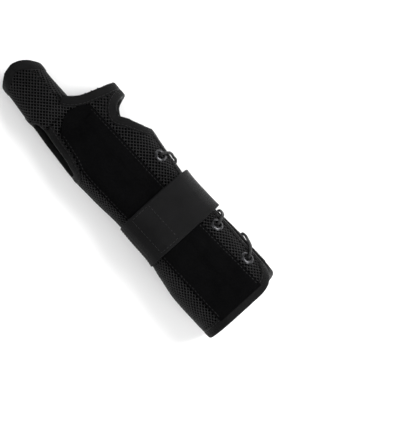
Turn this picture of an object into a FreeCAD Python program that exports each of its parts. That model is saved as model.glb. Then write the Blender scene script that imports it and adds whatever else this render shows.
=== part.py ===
"""Left-hand ulnar-gutter wrist splint: a laced mesh sleeve with a ring and little finger sleeve.

Frame: +X runs along the forearm from the cuff to the fingertips, +Y to the little-finger side,
+Z to the back of the hand. The splint lies on its palm side. Lengths are in millimetres.
"""
import FreeCAD, Part
import Sketcher
import math
import os

Vector = FreeCAD.Vector

# Driving dimensions. Each station of the sleeve is a rounded section, given by where it is, how far
# its thumb side and its little-finger side stand out, and its two corner radii.
STATIONS = ("cuff", "forearm", "strap", "wrist", "thumb", "palm", "knuckle")
FINGER_STATIONS = ("finger_root", "finger_tip")
SIZES = {
    "cuff_at": 0, "cuff_radial": 40.5, "cuff_ulnar": 40.5, "cuff_round": 22, "cuff_heel": 16,
    "forearm_at": 58, "forearm_radial": 41, "forearm_ulnar": 40, "forearm_round": 21.5, "forearm_heel": 15,
    "strap_at": 84, "strap_radial": 39, "strap_ulnar": 34.5, "strap_round": 21, "strap_heel": 11,
    "wrist_at": 132, "wrist_radial": 40, "wrist_ulnar": 33, "wrist_round": 19, "wrist_heel": 11,
    "thumb_at": 165, "thumb_radial": 44, "thumb_ulnar": 35.5, "thumb_round": 18, "thumb_heel": 12,
    "palm_at": 200, "palm_radial": 47, "palm_ulnar": 36, "palm_round": 17, "palm_heel": 12,
    "knuckle_at": 249.5, "knuckle_radial": 50, "knuckle_ulnar": 32, "knuckle_round": 16, "knuckle_heel": 12,
    "finger_root_at": 249.5, "finger_root_radial": 9.5, "finger_root_ulnar": 31.5,
    "finger_root_round": 14, "finger_root_heel": 5,
    "finger_tip_at": 304, "finger_tip_radial": 10.5, "finger_tip_ulnar": 27.5,
    "finger_tip_round": 13, "finger_tip_heel": 5,
    "cuff_top": 68, "knuckle_top": 39.5, "finger_tip_top": 31,
    "laminate": 3.0, "binding": 1.5, "binding_width": 8.5, "loop_pile": 1.5, "seam_tape": 1.0,
    "seam_tape_width": 10, "cuff_binding_width": 8, "lace_binding_width": 4,
    "lace_gap": 15, "lace_edge_drop": 15, "cuff_corner": 20,
    "thumb_hole_start": 171, "thumb_hole_end": 215, "thumb_hole_rim": 31,
    "ulnar_hole_start": 190, "ulnar_hole_end": 254, "ulnar_hole_rim": 25.5, "ulnar_hole_drop": 4.5,
    "loop_radial": 24, "loop_ulnar": 25, "loop_end": 236,
    "eyelet_flange": 12.5, "eyelet_bore": 6.4, "eyelet_sheet": 0.7, "eyelet_dome": 1.0,
    "washer_outer": 10.5, "washer_sheet": 0.6,
    "eyelet_setback": 12.5, "eyelet_first": 32, "dorsal_pitch": 40, "palm_first": 50, "palm_pitch": 30,
    "eyelet_count": 4, "lace_diameter": 2.5, "lace_clear": 0.4, "knot_diameter": 6.5,
    "band_start": 83, "band_width": 45, "band": 1.5, "band_clear": 0.3, "tail_end": 31.5,
    "tail_hinge": 17, "hook": 0.8, "hook_length": 22,
    "stay": 1.6, "stay_clear": 0.3, "stay_corner": 5, "pocket_cloth": 1.6, "pocket_seam": 2.5,
    "stay_start": 11, "dorsal_stay_width": 16, "dorsal_stay_length": 208, "dorsal_stay_y": -6.5,
    "palm_stay_width": 18, "palm_stay_length": 200, "palm_stay_y": -10.2,
    "finger_stay_width": 12, "finger_stay_length": 278, "finger_stay_y": 10.8,
}

doc = FreeCAD.newDocument("wrist_splint")
sheet = doc.addObject("Spreadsheet::Sheet", "Sizes")
for row, (alias, value) in enumerate(SIZES.items(), 1):
    sheet.set(f"A{row}", alias)
    sheet.set(f"B{row}", str(value))
    sheet.setAlias(f"B{row}", alias)
doc.recompute()


def size(alias):
    """A driving dimension, read from the sheet."""
    return float(sheet.get(alias))


LAMINATE = size("laminate")
BINDING = size("binding")
BAND = size("band")
FLOOR_RISE = BAND + size("band_clear")  # the palm face clears the ground by the strap under it
JOIN = size("knuckle_at")  # where the finger sleeve takes over from the hand
END = size("finger_tip_at")
FAR = 150.0  # further than any part of the sleeve reaches from its own axis


# ---- The sleeve's shape ----------------------------------------------------------------------------

def top_at(x):
    """Height of the sleeve's straight back line."""
    if x <= JOIN:
        return size("cuff_top") + (size("knuckle_top") - size("cuff_top")) * x / JOIN
    along = (x - JOIN) / (END - JOIN)
    return size("knuckle_top") + (size("finger_tip_top") - size("knuckle_top")) * along


def section_at(x, stations):
    """Thumb side, little-finger side and both corner radii of the outer face at x."""
    places = [size(name + "_at") for name in stations]
    index = 0
    while index < len(places) - 2 and x > places[index + 1]:
        index += 1
    near, away = stations[index], stations[index + 1]
    share = (x - places[index]) / (places[index + 1] - places[index])
    if x < places[0]:
        share = 0.0
    values = []
    for key in ("_radial", "_ulnar", "_round", "_heel"):
        first, second = size(near + key), size(away + key)
        values.append(first + (second - first) * share)
    return values


def section_wire(x, stations, out):
    """The rounded section at x, grown by out = (thumb side, little-finger side, back, palm)."""
    radial, ulnar, round_top, round_heel = section_at(x, stations)
    left, right = -radial - out[0], ulnar + out[1]
    low, high = FLOOR_RISE - out[3], top_at(x) + out[2]
    upper = round_top + out[2]
    lower = round_heel + out[3]
    diagonal = math.sqrt(0.5)

    def arc(centre_y, centre_z, radius, side, start, end):
        middle = Vector(x, centre_y + side[0] * radius * diagonal, centre_z + side[1] * radius * diagonal)
        return Part.Arc(Vector(x, *start), middle, Vector(x, *end)).toShape()

    def line(start, end):
        return Part.LineSegment(Vector(x, *start), Vector(x, *end)).toShape()

    return Part.Wire([
        line((left + lower, low), (right - lower, low)),
        arc(right - lower, low + lower, lower, (1, -1), (right - lower, low), (right, low + lower)),
        line((right, low + lower), (right, high - upper)),
        arc(right - upper, high - upper, upper, (1, 1), (right, high - upper), (right - upper, high)),
        line((right - upper, high), (left + upper, high)),
        arc(left + upper, high - upper, upper, (-1, 1), (left + upper, high), (left, high - upper)),
        line((left, high - upper), (left, low + lower)),
        arc(left + lower, low + lower, lower, (-1, -1), (left, low + lower), (left + lower, low)),
    ])


def tube(stations, out, start, end):
    """Solid inside the sleeve's face, grown by out, from start to end."""
    inner_places = [size(name + "_at") for name in stations]
    places = [start] + [x for x in inner_places if start < x < end] + [end]
    return Part.makeLoft([section_wire(x, stations, out) for x in places], True, True)


def skin(stations, inner, outer, start, end):
    """Layer of the sleeve's wall between two offsets from its outer face."""
    grown = tube(stations, (outer,) * 4, start, end)
    core = tube(stations, (inner,) * 4, start - 1, end + 1)
    return grown.cut(core)


def closed_face(start, steps, lift):
    """Face from start through steps: a point for a line, or (middle, end) for an arc."""
    edges = []
    here = start
    for step in steps + [start]:
        if isinstance(step[0], tuple):
            edges.append(Part.Arc(lift(*here), lift(*step[0]), lift(*step[1])).toShape())
            here = step[1]
        else:
            edges.append(Part.LineSegment(lift(*here), lift(*step)).toShape())
            here = step
    return Part.Face(Part.Wire(edges))


def plan_face(start, steps):
    """Face drawn from above."""
    return closed_face(start, steps, lambda x, y: Vector(x, y, -FAR))


def upright(face):
    """Prism through the whole splint above and below a plan face."""
    return face.extrude(Vector(0, 0, 2 * FAR))


def side_prism(points, y_start, y_end):
    """Prism along Y from a polygon in X and Z."""
    face = closed_face(points[0], points[1:], lambda x, z: Vector(x, y_start, z))
    return face.extrude(Vector(0, y_end - y_start, 0))


def slab(x_start, x_end):
    """Everything between two planes across the forearm."""
    return Part.makeBox(x_end - x_start, 2 * FAR, 2 * FAR, Vector(x_start, -FAR, -FAR))


def above(height, y_start, y_end):
    """Everything over the line height(x), between two values of y."""
    return side_prism([(-FAR, height(-FAR)), (JOIN, height(JOIN)), (END + FAR, height(END + FAR)),
                       (END + FAR, 2 * FAR), (-FAR, 2 * FAR)], y_start, y_end)


def seam_at(x):
    """Height of the side seam, midway between palm and back."""
    return (FLOOR_RISE + top_at(x)) / 2


def lace_line(x):
    """Height of the middle of the laced gap."""
    return top_at(x) - size("lace_edge_drop") - size("lace_gap") / 2


# ---- Openings --------------------------------------------------------------------------------------

THUMB_FROM, THUMB_TO, THUMB_RIM = size("thumb_hole_start"), size("thumb_hole_end"), size("thumb_hole_rim")
THUMB_FACE = plan_face((THUMB_FROM - 4, -FAR), [
    (THUMB_FROM, -THUMB_RIM - 15),
    (THUMB_TO - 18, -THUMB_RIM - 4.5),
    ((THUMB_TO - 10, -THUMB_RIM), (THUMB_TO - 2, -THUMB_RIM - 7)),
    (THUMB_TO, -THUMB_RIM - 20),
    (THUMB_TO, -FAR),
])
FINGER_SIDE = -size("finger_root_radial") + 1.5
KNUCKLE_FACE = plan_face((JOIN, FINGER_SIDE), [
    ((JOIN - 11, FINGER_SIDE - 15), (JOIN - 18, -size("knuckle_radial"))),
    (JOIN - 18, -FAR),
    (END + FAR, -FAR),
    (END + FAR, FINGER_SIDE),
])
ULNAR_FROM, ULNAR_TO, ULNAR_RIM = size("ulnar_hole_start"), size("ulnar_hole_end"), size("ulnar_hole_rim")
ULNAR_FACE = plan_face((ULNAR_FROM - 3, FAR), [
    (ULNAR_FROM, ULNAR_RIM + 8.5),
    ((ULNAR_FROM + 15, ULNAR_RIM + 3.5), (ULNAR_FROM + 34, ULNAR_RIM + 1.5)),
    (ULNAR_TO - 14, ULNAR_RIM),
    ((ULNAR_TO - 4, ULNAR_RIM + 1.5), (ULNAR_TO, ULNAR_RIM + 7)),
    (ULNAR_TO + 2, FAR),
])
CORNER = size("cuff_corner")
CORNER_Y = -size("cuff_radial")
CORNER_FACE = plan_face((-CORNER, CORNER_Y + 1.15 * CORNER), [
    (-1, CORNER_Y + 1.15 * CORNER),
    ((0.28 * CORNER, CORNER_Y + 0.3 * CORNER), (CORNER, CORNER_Y - 3)),
    (CORNER, -FAR),
    (-CORNER, -FAR),
])
TIP_FACE = plan_face((END - 16, -15), [
    ((END, 9), (END - 9, 33)),
    (END - 9, FAR),
    (END + FAR, FAR),
    (END + FAR, -FAR),
    (END - 16, -FAR),
])


def lace_opening(margin):
    """The laced gap between the two panels, wider by margin at each edge."""
    half = size("lace_gap") / 2 + margin
    stop = (THUMB_FROM + THUMB_TO) / 2
    wedge = side_prism([(-FAR, lace_line(-FAR) - half), (stop, lace_line(stop) - half),
                        (stop, lace_line(stop) + half), (-FAR, lace_line(-FAR) + half)], -FAR, -15)
    return wedge.fuse(upright(CORNER_FACE.makeOffset2D(margin) if margin else CORNER_FACE))


def ulnar_opening(margin):
    """The opening at the little-finger edge of the hand, wider by margin."""
    plan = ULNAR_FACE.makeOffset2D(margin) if margin else ULNAR_FACE

    def sill(x):
        return seam_at(x) - size("ulnar_hole_drop") - margin

    return upright(plan).common(above(sill, 0, FAR))


# ---- Panels ----------------------------------------------------------------------------------------

def back_half():
    """The side of the seams that belongs to the back of the hand."""
    web = (THUMB_FROM + THUMB_TO) / 2
    edge = size("lace_gap") / 2
    thumb_side = side_prism([(-FAR, lace_line(-FAR) + edge), (web, lace_line(web) + edge),
                             (web, seam_at(web)), (JOIN, seam_at(JOIN)), (END + FAR, seam_at(END + FAR)),
                             (END + FAR, 2 * FAR), (-FAR, 2 * FAR)], -FAR, 0)
    return thumb_side.fuse(above(seam_at, 0, FAR))


BACK_HALF = back_half()
OPENINGS = [lace_opening(0), ulnar_opening(0), upright(THUMB_FACE), upright(KNUCKLE_FACE)]


def fabric(label, shape):
    """A sewn piece as a document object of its own."""
    piece = doc.addObject("Part::Feature", label)
    piece.Label = label
    piece.Shape = shape
    return piece


def eyelet_places():
    """Point on the face and outward direction of each eyelet: back panel's row, then palm panel's."""
    rise = size("lace_gap") / 2 + size("eyelet_setback")
    rows = []
    for first, pitch, side in (("eyelet_first", "dorsal_pitch", 1), ("palm_first", "palm_pitch", -1)):
        xs = [size(first) + size(pitch) * number for number in range(int(size("eyelet_count")))]
        rows.append([(x,) + wall_frame(x, side * rise) for x in xs])
    return rows


def wall_frame(x, rise):
    """Point of the thumb-side face that is rise along the cloth from the laced gap's middle."""
    radial, _, round_top, round_heel = section_at(x, STATIONS)
    line = lace_line(x) + rise
    upper = top_at(x) - round_top
    lower = FLOOR_RISE + round_heel
    if line > upper:
        angle = (line - upper) / round_top
        point = Vector(x, -radial + round_top * (1 - math.cos(angle)), upper + round_top * math.sin(angle))
        return point, Vector(0, -math.cos(angle), math.sin(angle))
    if line < lower:
        angle = (lower - line) / round_heel
        point = Vector(x, -radial + round_heel * (1 - math.cos(angle)), lower - round_heel * math.sin(angle))
        return point, Vector(0, -math.cos(angle), -math.sin(angle))
    return Vector(x, -radial, line), Vector(0, -1, 0)


BACK_ROW, PALM_ROW = eyelet_places()


def eyelet_holes(row):
    """Holes for the barrels, with flat seats for the flanges and for the washers inside the wall."""
    barrel = size("eyelet_bore") / 2 + size("eyelet_sheet")
    tools = []
    for _, point, outward in row:
        tools.append(Part.makeCylinder(barrel, 4 * LAMINATE, point - outward * 3 * LAMINATE, outward))
        tools.append(Part.makeCylinder(size("eyelet_flange") / 2, LAMINATE, point, outward))
        tools.append(Part.makeCylinder(size("washer_outer") / 2, 2 * LAMINATE,
                                       point - outward * 3 * LAMINATE, outward))
    return tools


def panels():
    """The four mesh panels: laminate cut to its openings and split along the side seams."""
    hand = skin(STATIONS, -LAMINATE, 0, 0, JOIN)
    for opening in OPENINGS:
        hand = hand.cut(opening)
    fingers = skin(FINGER_STATIONS, -LAMINATE, 0, JOIN, END + 1)
    fingers = fingers.cut(upright(TIP_FACE)).cut(ulnar_opening(0))
    dorsal = hand.common(BACK_HALF)
    volar = hand.cut(BACK_HALF)
    for tool in eyelet_holes(BACK_ROW):
        dorsal = dorsal.cut(tool)
    for tool in eyelet_holes(PALM_ROW):
        volar = volar.cut(tool)
    return {
        "dorsal_mesh_panel": dorsal,
        "volar_mesh_panel": volar,
        "finger_sleeve_dorsal": fingers.common(BACK_HALF),
        "finger_sleeve_volar": fingers.cut(BACK_HALF),
    }


PANELS = panels()
for name, shape in PANELS.items():
    fabric(name, shape)


# ---- Bindings: folded tapes sewn over each raw edge -------------------------------------------------

def wrapped(shell, region):
    """Tape inside region, on both faces of the wall and round its edge."""
    tape = shell.common(region)
    for panel in PANELS.values():
        tape = tape.cut(panel)
    return tape


def band(opening, width):
    """Region of an opening's tape: from just inside the opening to width outside it."""
    return opening(width).cut(opening(-BINDING))


def thumb_opening(margin):
    return upright(THUMB_FACE.makeOffset2D(margin))


def knuckle_opening(margin):
    return upright(KNUCKLE_FACE.makeOffset2D(margin))


def tip_opening(margin):
    return upright(TIP_FACE.makeOffset2D(margin))


WIDTH = size("binding_width")
HAND_SHELL = skin(STATIONS, -LAMINATE - BINDING, BINDING, -BINDING, JOIN)
FINGER_SHELL = skin(FINGER_STATIONS, -LAMINATE - BINDING, BINDING, JOIN, END + 2 * BINDING)
CUFF_SLAB = slab(-2 * BINDING, size("cuff_binding_width"))
LACE_BAND = band(lace_opening, size("lace_binding_width"))

thumb_binding = wrapped(HAND_SHELL, band(thumb_opening, WIDTH)).cut(lace_opening(-BINDING))
knuckle_binding = wrapped(HAND_SHELL, band(knuckle_opening, WIDTH)).cut(thumb_opening(WIDTH))
ulnar_binding = wrapped(HAND_SHELL.fuse(FINGER_SHELL), band(ulnar_opening, WIDTH))
ulnar_binding = ulnar_binding.cut(knuckle_opening(WIDTH))
finger_binding = wrapped(FINGER_SHELL, band(tip_opening, WIDTH))
cuff_binding = wrapped(HAND_SHELL, CUFF_SLAB).cut(lace_opening(-BINDING))
lace_binding = wrapped(HAND_SHELL, LACE_BAND).cut(CUFF_SLAB).cut(thumb_opening(WIDTH))
BINDINGS = {
    "cuff_binding": cuff_binding,
    "dorsal_lace_edge_binding": lace_binding.common(above(lace_line, -FAR, 0)),
    "volar_lace_edge_binding": lace_binding.cut(above(lace_line, -FAR, 0)),
    "thumb_opening_binding": thumb_binding,
    "knuckle_binding": knuckle_binding,
    "ulnar_opening_binding": ulnar_binding,
    "finger_sleeve_binding": finger_binding,
}
for name, shape in BINDINGS.items():
    fabric(name, shape)


# ---- Brushed loop panel and seam tape on the outside ------------------------------------------------

def loop_panel():
    """Brushed loop cloth over the back, from the cuff tape to the knuckle tape."""
    end = size("loop_end")
    radial, ulnar = size("loop_radial"), size("loop_ulnar")
    outline = plan_face((0, -radial), [
        (JOIN / 2, -radial + 4),
        (end, -radial + 4),
        ((end + 1, 0), (end - 8, ulnar - 6)),
        (ULNAR_FROM - 20, ulnar + 2),
        (0, ulnar - 1),
    ])
    pile = skin(STATIONS, 0, size("loop_pile"), size("cuff_binding_width"), JOIN).common(upright(outline))
    pile = pile.common(BACK_HALF)
    for tape in BINDINGS.values():
        pile = pile.cut(tape)
    return pile


def seam_tape():
    """Tape over the little-finger side seam, from the cuff to the hand opening."""
    half = size("seam_tape_width") / 2
    strip = skin(STATIONS, 0, size("seam_tape"), size("cuff_binding_width"), ULNAR_FROM)
    strip = strip.common(above(lambda x: seam_at(x) - half, 0, FAR))
    strip = strip.cut(above(lambda x: seam_at(x) + half, 0, FAR))
    return strip.cut(ulnar_opening(WIDTH))


LOOP_PANEL = fabric("dorsal_loop_panel", loop_panel())
fabric("ulnar_seam_tape", seam_tape())


# ---- Eyelets and washers ----------------------------------------------------------------------------

def bound(kind, name, bindings):
    """A Part primitive whose sizes are expressions of the sheet."""
    piece = doc.addObject(kind, name)
    for target, expression in bindings.items():
        piece.setExpression(target, expression)
    return piece


def boolean(kind, name, base, tool):
    piece = doc.addObject(kind, name)
    piece.Base = base
    piece.Tool = tool
    return piece


def eyelet_master():
    """One eyelet with its flange's underside at z = 0 and its barrel going down through the wall."""
    flange = bound("Part::Cone", "eyelet_flange_cone", {
        "Radius1": "Sizes.eyelet_flange / 2",
        "Radius2": "Sizes.eyelet_bore / 2 + Sizes.eyelet_sheet",
        "Height": "Sizes.eyelet_dome",
    })
    barrel = bound("Part::Cylinder", "eyelet_barrel", {
        "Radius": "Sizes.eyelet_bore / 2 + Sizes.eyelet_sheet",
        "Height": "Sizes.laminate + Sizes.eyelet_dome",
        "Placement.Base.z": "-Sizes.laminate",
    })
    bore = bound("Part::Cylinder", "eyelet_bore_tool", {
        "Radius": "Sizes.eyelet_bore / 2",
        "Height": "Sizes.laminate * 4",
        "Placement.Base.z": "-Sizes.laminate * 2",
    })
    body = boolean("Part::Fuse", "eyelet_blank", flange, barrel)
    return boolean("Part::Cut", "eyelet_master", body, bore)


def washer_master():
    """One washer that the barrel is clinched over, just inside the wall."""
    disc = bound("Part::Cylinder", "washer_disc", {
        "Radius": "Sizes.washer_outer / 2",
        "Height": "Sizes.washer_sheet",
        "Placement.Base.z": "-Sizes.laminate - Sizes.washer_sheet",
    })
    bore = bound("Part::Cylinder", "washer_bore", {
        "Radius": "Sizes.eyelet_bore / 2",
        "Height": "Sizes.laminate * 4",
        "Placement.Base.z": "-Sizes.laminate * 3",
    })
    return boolean("Part::Cut", "washer_master", disc, bore)


EYELET = eyelet_master()
WASHER = washer_master()
doc.recompute()


def set_in_row(label, master, row):
    """Copies of a master, one at each eyelet's place, as one group of solids."""
    copies = []
    for _, point, outward in row:
        turn = FreeCAD.Rotation(Vector(0, 0, 1), outward)
        copy = master.Shape.copy()
        copy.Placement = FreeCAD.Placement(point, turn)
        copies.append(copy)
    return fabric(label, Part.makeCompound(copies))


set_in_row("dorsal_eyelets", EYELET, BACK_ROW)
set_in_row("volar_eyelets", EYELET, PALM_ROW)
set_in_row("dorsal_eyelet_washers", WASHER, BACK_ROW)
set_in_row("volar_eyelet_washers", WASHER, PALM_ROW)


# ---- Lace -------------------------------------------------------------------------------------------

FLANGE_LIFT = 0.6  # extra height that the lace keeps over an eyelet's flange
KNOT_LAP = 0.6  # length of lace end that each stopper knot holds


def lace_route():
    """Corner points of the lace: out of a back eyelet, over the gap, in at a palm eyelet, back inside."""
    radius = size("lace_diameter") / 2
    clear = size("lace_clear")
    edge = size("lace_gap") / 2
    reach = edge + size("eyelet_setback")
    over_flange = size("eyelet_dome") + radius + clear + FLANGE_LIFT
    over_edge = BINDING + radius + clear
    inside = -LAMINATE - BINDING - size("washer_sheet") - radius - clear
    points = []
    for number, ((x_back, _, _), (x_palm, _, _)) in enumerate(zip(BACK_ROW, PALM_ROW)):
        def between(share, back=x_back, palm=x_palm):
            return back + (palm - back) * share

        stops = [(x_back, reach, inside), (x_back, reach, over_flange),
                 (between(0.17), edge + 6, over_edge + 0.5), (between(0.35), edge - 1, over_edge),
                 (between(0.65), -edge + 1, over_edge), (between(0.83), -edge - 6, over_edge + 0.5),
                 (x_palm, -reach, over_flange), (x_palm, -reach, inside)]
        if number + 1 < len(BACK_ROW):
            x_next = BACK_ROW[number + 1][0]
            stops += [(x_palm + (x_next - x_palm) * 0.3, -edge + 1, inside),
                      (x_palm + (x_next - x_palm) * 0.7, edge - 1, inside)]
        for x, rise, out in stops:
            point, outward = wall_frame(x, rise)
            points.append(point + outward * out)
    return points


def rounded_path(points):
    """Straight runs joined by tangent arcs, each as large as its two runs allow."""
    edges = []
    radii = []
    here = points[0]
    for before, corner, after in zip(points, points[1:], points[2:]):
        back, onward = before - corner, after - corner
        turn = math.pi - back.getAngle(onward)
        setback = 0.45 * min(back.Length, onward.Length)
        radii.append(setback / math.tan(turn / 2))
        start = corner + back.normalize() * setback
        end = corner + onward.normalize() * setback
        bisector = (back + onward).normalize()
        centre_distance = math.hypot(radii[-1], setback)
        middle = corner + bisector * (centre_distance - radii[-1])
        edges.append(Part.LineSegment(here, start).toShape())
        edges.append(Part.Arc(start, middle, end).toShape())
        here = end
    edges.append(Part.LineSegment(here, points[-1]).toShape())
    return Part.Wire(edges), radii


def lace_shape():
    path, radii = rounded_path(lace_route())
    radius = size("lace_diameter") / 2
    start = path.OrderedEdges[0]
    along = start.tangentAt(start.FirstParameter)
    ring = Part.Wire([Part.makeCircle(radius, start.valueAt(start.FirstParameter), along)])
    cord = path.makePipeShell([ring], True, False)
    print("lace radii mm:", ", ".join(f"{value:.1f}" for value in radii))
    print(f"lace volume {cord.Volume:.1f}, section times length {math.pi * radius ** 2 * path.Length:.1f}")
    return cord


def knots(cord):
    """Stopper knots on the lace's two ends, inside the wall."""
    points = lace_route()
    radius = size("knot_diameter") / 2
    balls = []
    for end, neighbour in ((points[0], points[1]), (points[-1], points[-2])):
        outward = (neighbour - end).normalize()
        balls.append(Part.makeSphere(radius, end - outward * (radius - KNOT_LAP)).cut(cord))
    return Part.makeCompound(balls)


LACE = lace_shape()
fabric("lace", LACE)
fabric("lace_stopper_knots", knots(LACE))


# ---- Wrist strap ------------------------------------------------------------------------------------

BAND_FROM = size("band_start")
BAND_TO = BAND_FROM + size("band_width")
GAP = size("band_clear")
LACE_ROOM = BINDING + size("lace_diameter") + 2 * size("lace_clear") + GAP
PILE_ROOM = size("loop_pile") + size("hook") + GAP
TAPE_ROOM = size("seam_tape") + GAP
PRESSED = 0.2  # depth that the webbing under the palm side is pressed flat by


def ring(clearances):
    """Strap-thick ring round the wrist that keeps its own clearance on each side and lies flat underneath."""
    outer_rooms = [gap + BAND for gap in clearances]
    outer_rooms[-1] += PRESSED
    outer = tube(STATIONS, outer_rooms, BAND_FROM, BAND_TO)
    hollow = outer.cut(tube(STATIONS, clearances, BAND_FROM - 1, BAND_TO + 1))
    return hollow.common(strip_between(-FAR, FAR, 0, FAR))


def strip_between(y_start, y_end, z_start=-FAR, z_end=FAR):
    return Part.makeBox(2 * FAR + JOIN, y_end - y_start, z_end - z_start, Vector(-FAR, y_start, z_start))


HINGE_Y = -size("tail_hinge")
MIDDLE_Z = seam_at((BAND_FROM + BAND_TO) / 2)
SPLICE_Y = -20.0
woven_ring = ring((LACE_ROOM, TAPE_ROOM, PILE_ROOM, GAP))
elastic_ring = ring((LACE_ROOM, TAPE_ROOM, GAP, GAP))
tail_ring = ring((LACE_ROOM, TAPE_ROOM + BAND + GAP, PILE_ROOM, GAP))

woven = woven_ring.common(strip_between(-FAR, HINGE_Y, MIDDLE_Z)).fuse(
    woven_ring.common(strip_between(-FAR, SPLICE_Y, -FAR, MIDDLE_Z)))
elastic = elastic_ring.common(strip_between(SPLICE_Y, FAR, -FAR, MIDDLE_Z)).fuse(
    elastic_ring.common(strip_between(size("loop_ulnar") + 2, FAR, MIDDLE_Z)))
fabric("strap_woven_run", woven.removeSplitter())
fabric("strap_elastic_run", elastic.removeSplitter())
fabric("strap_tail", tail_ring.common(strip_between(HINGE_Y + GAP, size("tail_end"), MIDDLE_Z)))

hook_end = size("loop_ulnar") - 3
hook_layer = tube(STATIONS, (LACE_ROOM, TAPE_ROOM + BAND + GAP, PILE_ROOM, GAP), BAND_FROM + 1, BAND_TO - 1)
hook_core = tube(STATIONS, (LACE_ROOM, TAPE_ROOM, PILE_ROOM - size("hook"), GAP), BAND_FROM, BAND_TO)
hook = hook_layer.cut(hook_core).common(strip_between(hook_end - size("hook_length"), hook_end, MIDDLE_Z))
fabric("strap_hook_tab", hook)


# ---- Stays and their pockets ------------------------------------------------------------------------

def origin_plane(body, role):
    return next(item for item in body.Origin.OriginFeatures if item.Role == role)


def rectangle_sketch(body, name, length, width):
    """Sketch of a rectangle with one end on the Y axis, its sizes bound to the sheet."""
    sketch = body.newObject("Sketcher::SketchObject", name)
    sketch.AttachmentSupport = [(origin_plane(body, "XY_Plane"), "")]
    sketch.MapMode = "FlatFace"
    corners = [Vector(0, -5, 0), Vector(50, -5, 0), Vector(50, 5, 0), Vector(0, 5, 0)]
    for index in range(4):
        sketch.addGeometry(Part.LineSegment(corners[index], corners[(index + 1) % 4]), False)
    for index in range(4):
        sketch.addConstraint(Sketcher.Constraint("Coincident", index, 2, (index + 1) % 4, 1))
    for index in (0, 2):
        sketch.addConstraint(Sketcher.Constraint("Horizontal", index))
    sketch.addConstraint(Sketcher.Constraint("Vertical", 1))
    sketch.addConstraint(Sketcher.Constraint("PointOnObject", 0, 1, -2))
    sketch.addConstraint(Sketcher.Constraint("Symmetric", 0, 1, 3, 1, -1))
    sketch.addConstraint(Sketcher.Constraint("DistanceX", 0, 1, 0, 2, 50))
    sketch.renameConstraint(sketch.ConstraintCount - 1, "length")
    sketch.setExpression("Constraints.length", length)
    sketch.addConstraint(Sketcher.Constraint("DistanceY", 1, 1, 1, 2, 10))
    sketch.renameConstraint(sketch.ConstraintCount - 1, "width")
    sketch.setExpression("Constraints.width", width)
    return sketch


def stay(label):
    """Flat aluminium bar with rounded ends, from its pocket's mouth end, bottom at z = 0."""
    body = doc.addObject("PartDesign::Body", label)
    body.Label = label
    sketch = rectangle_sketch(body, label + "_sketch", f"Sizes.{label}_length", f"Sizes.{label}_width")
    pad = body.newObject("PartDesign::Pad", label + "_pad")
    pad.Profile = sketch
    pad.setExpression("Length", "Sizes.stay")
    doc.recompute()
    uprights = []
    for number, edge in enumerate(pad.Shape.Edges, 1):
        if abs(edge.tangentAt(edge.FirstParameter).z) > 0.9:
            uprights.append(f"Edge{number}")
    rounding = body.newObject("PartDesign::Fillet", label + "_ends")
    rounding.Base = (pad, uprights)
    rounding.setExpression("Radius", "Sizes.stay_corner")
    return body


def pocket(stay_name):
    """Sewn channel for a stay: closed at the finger end, open at the cuff end, floor at z = 0."""
    case = bound("Part::Box", stay_name + "_case", {
        "Length": f"Sizes.{stay_name}_length + Sizes.pocket_seam",
        "Width": f"Sizes.{stay_name}_width + 2 * (Sizes.stay_clear + Sizes.pocket_seam)",
        "Height": "Sizes.stay + 2 * (Sizes.stay_clear + Sizes.pocket_cloth)",
        "Placement.Base.y": f"-Sizes.{stay_name}_width / 2 - Sizes.stay_clear - Sizes.pocket_seam",
    })
    room = bound("Part::Box", stay_name + "_room", {
        "Length": f"Sizes.{stay_name}_length + 50",
        "Width": f"Sizes.{stay_name}_width + 2 * Sizes.stay_clear",
        "Height": "Sizes.stay + 2 * Sizes.stay_clear",
        "Placement.Base.x": "Sizes.stay_clear - 50",
        "Placement.Base.y": f"-Sizes.{stay_name}_width / 2 - Sizes.stay_clear",
        "Placement.Base.z": "Sizes.pocket_cloth",
    })
    piece = boolean("Part::Cut", stay_name + "_pocket", case, room)
    piece.Label = stay_name + "_pocket"
    return piece


POCKET_DEPTH = size("stay") + 2 * (size("stay_clear") + size("pocket_cloth"))
SLOPE = math.degrees(math.atan2(size("cuff_top") - size("knuckle_top"), JOIN))
START = size("stay_start")


def seat(stay_name, corner, turn):
    """Place a pocket by its mouth's floor, and its stay inside it."""
    pocket_piece = pocket(stay_name)
    stay_piece = stay(stay_name)
    pocket_piece.Placement = FreeCAD.Placement(corner, turn)
    lift = turn.multVec(Vector(0, 0, size("pocket_cloth") + size("stay_clear")))
    stay_piece.Placement = FreeCAD.Placement(corner + lift, turn)


palm_floor = FLOOR_RISE + LAMINATE
seat("palm_stay", Vector(START, size("palm_stay_y"), palm_floor), FreeCAD.Rotation())
seat("finger_stay", Vector(START, size("finger_stay_y"), palm_floor), FreeCAD.Rotation())
slope_turn = FreeCAD.Rotation(Vector(0, 1, 0), SLOPE)
normal_drop = slope_turn.multVec(Vector(0, 0, LAMINATE + POCKET_DEPTH))
seat("dorsal_stay", Vector(START, size("dorsal_stay_y"), top_at(START)) - normal_drop, slope_turn)


# ---- Check and write --------------------------------------------------------------------------------

doc.recompute()
NODES = (list(PANELS) + list(BINDINGS) + [
    "dorsal_loop_panel", "ulnar_seam_tape", "dorsal_eyelets", "volar_eyelets", "dorsal_eyelet_washers",
    "volar_eyelet_washers", "lace", "lace_stopper_knots", "strap_woven_run", "strap_elastic_run",
    "strap_tail", "strap_hook_tab", "dorsal_stay", "palm_stay", "finger_stay", "dorsal_stay_pocket",
    "palm_stay_pocket", "finger_stay_pocket"])

for item in doc.Objects:
    if "Invalid" in item.State or "Error" in item.State:
        raise RuntimeError(f"{item.Label} did not compute: {item.State}")

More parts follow.
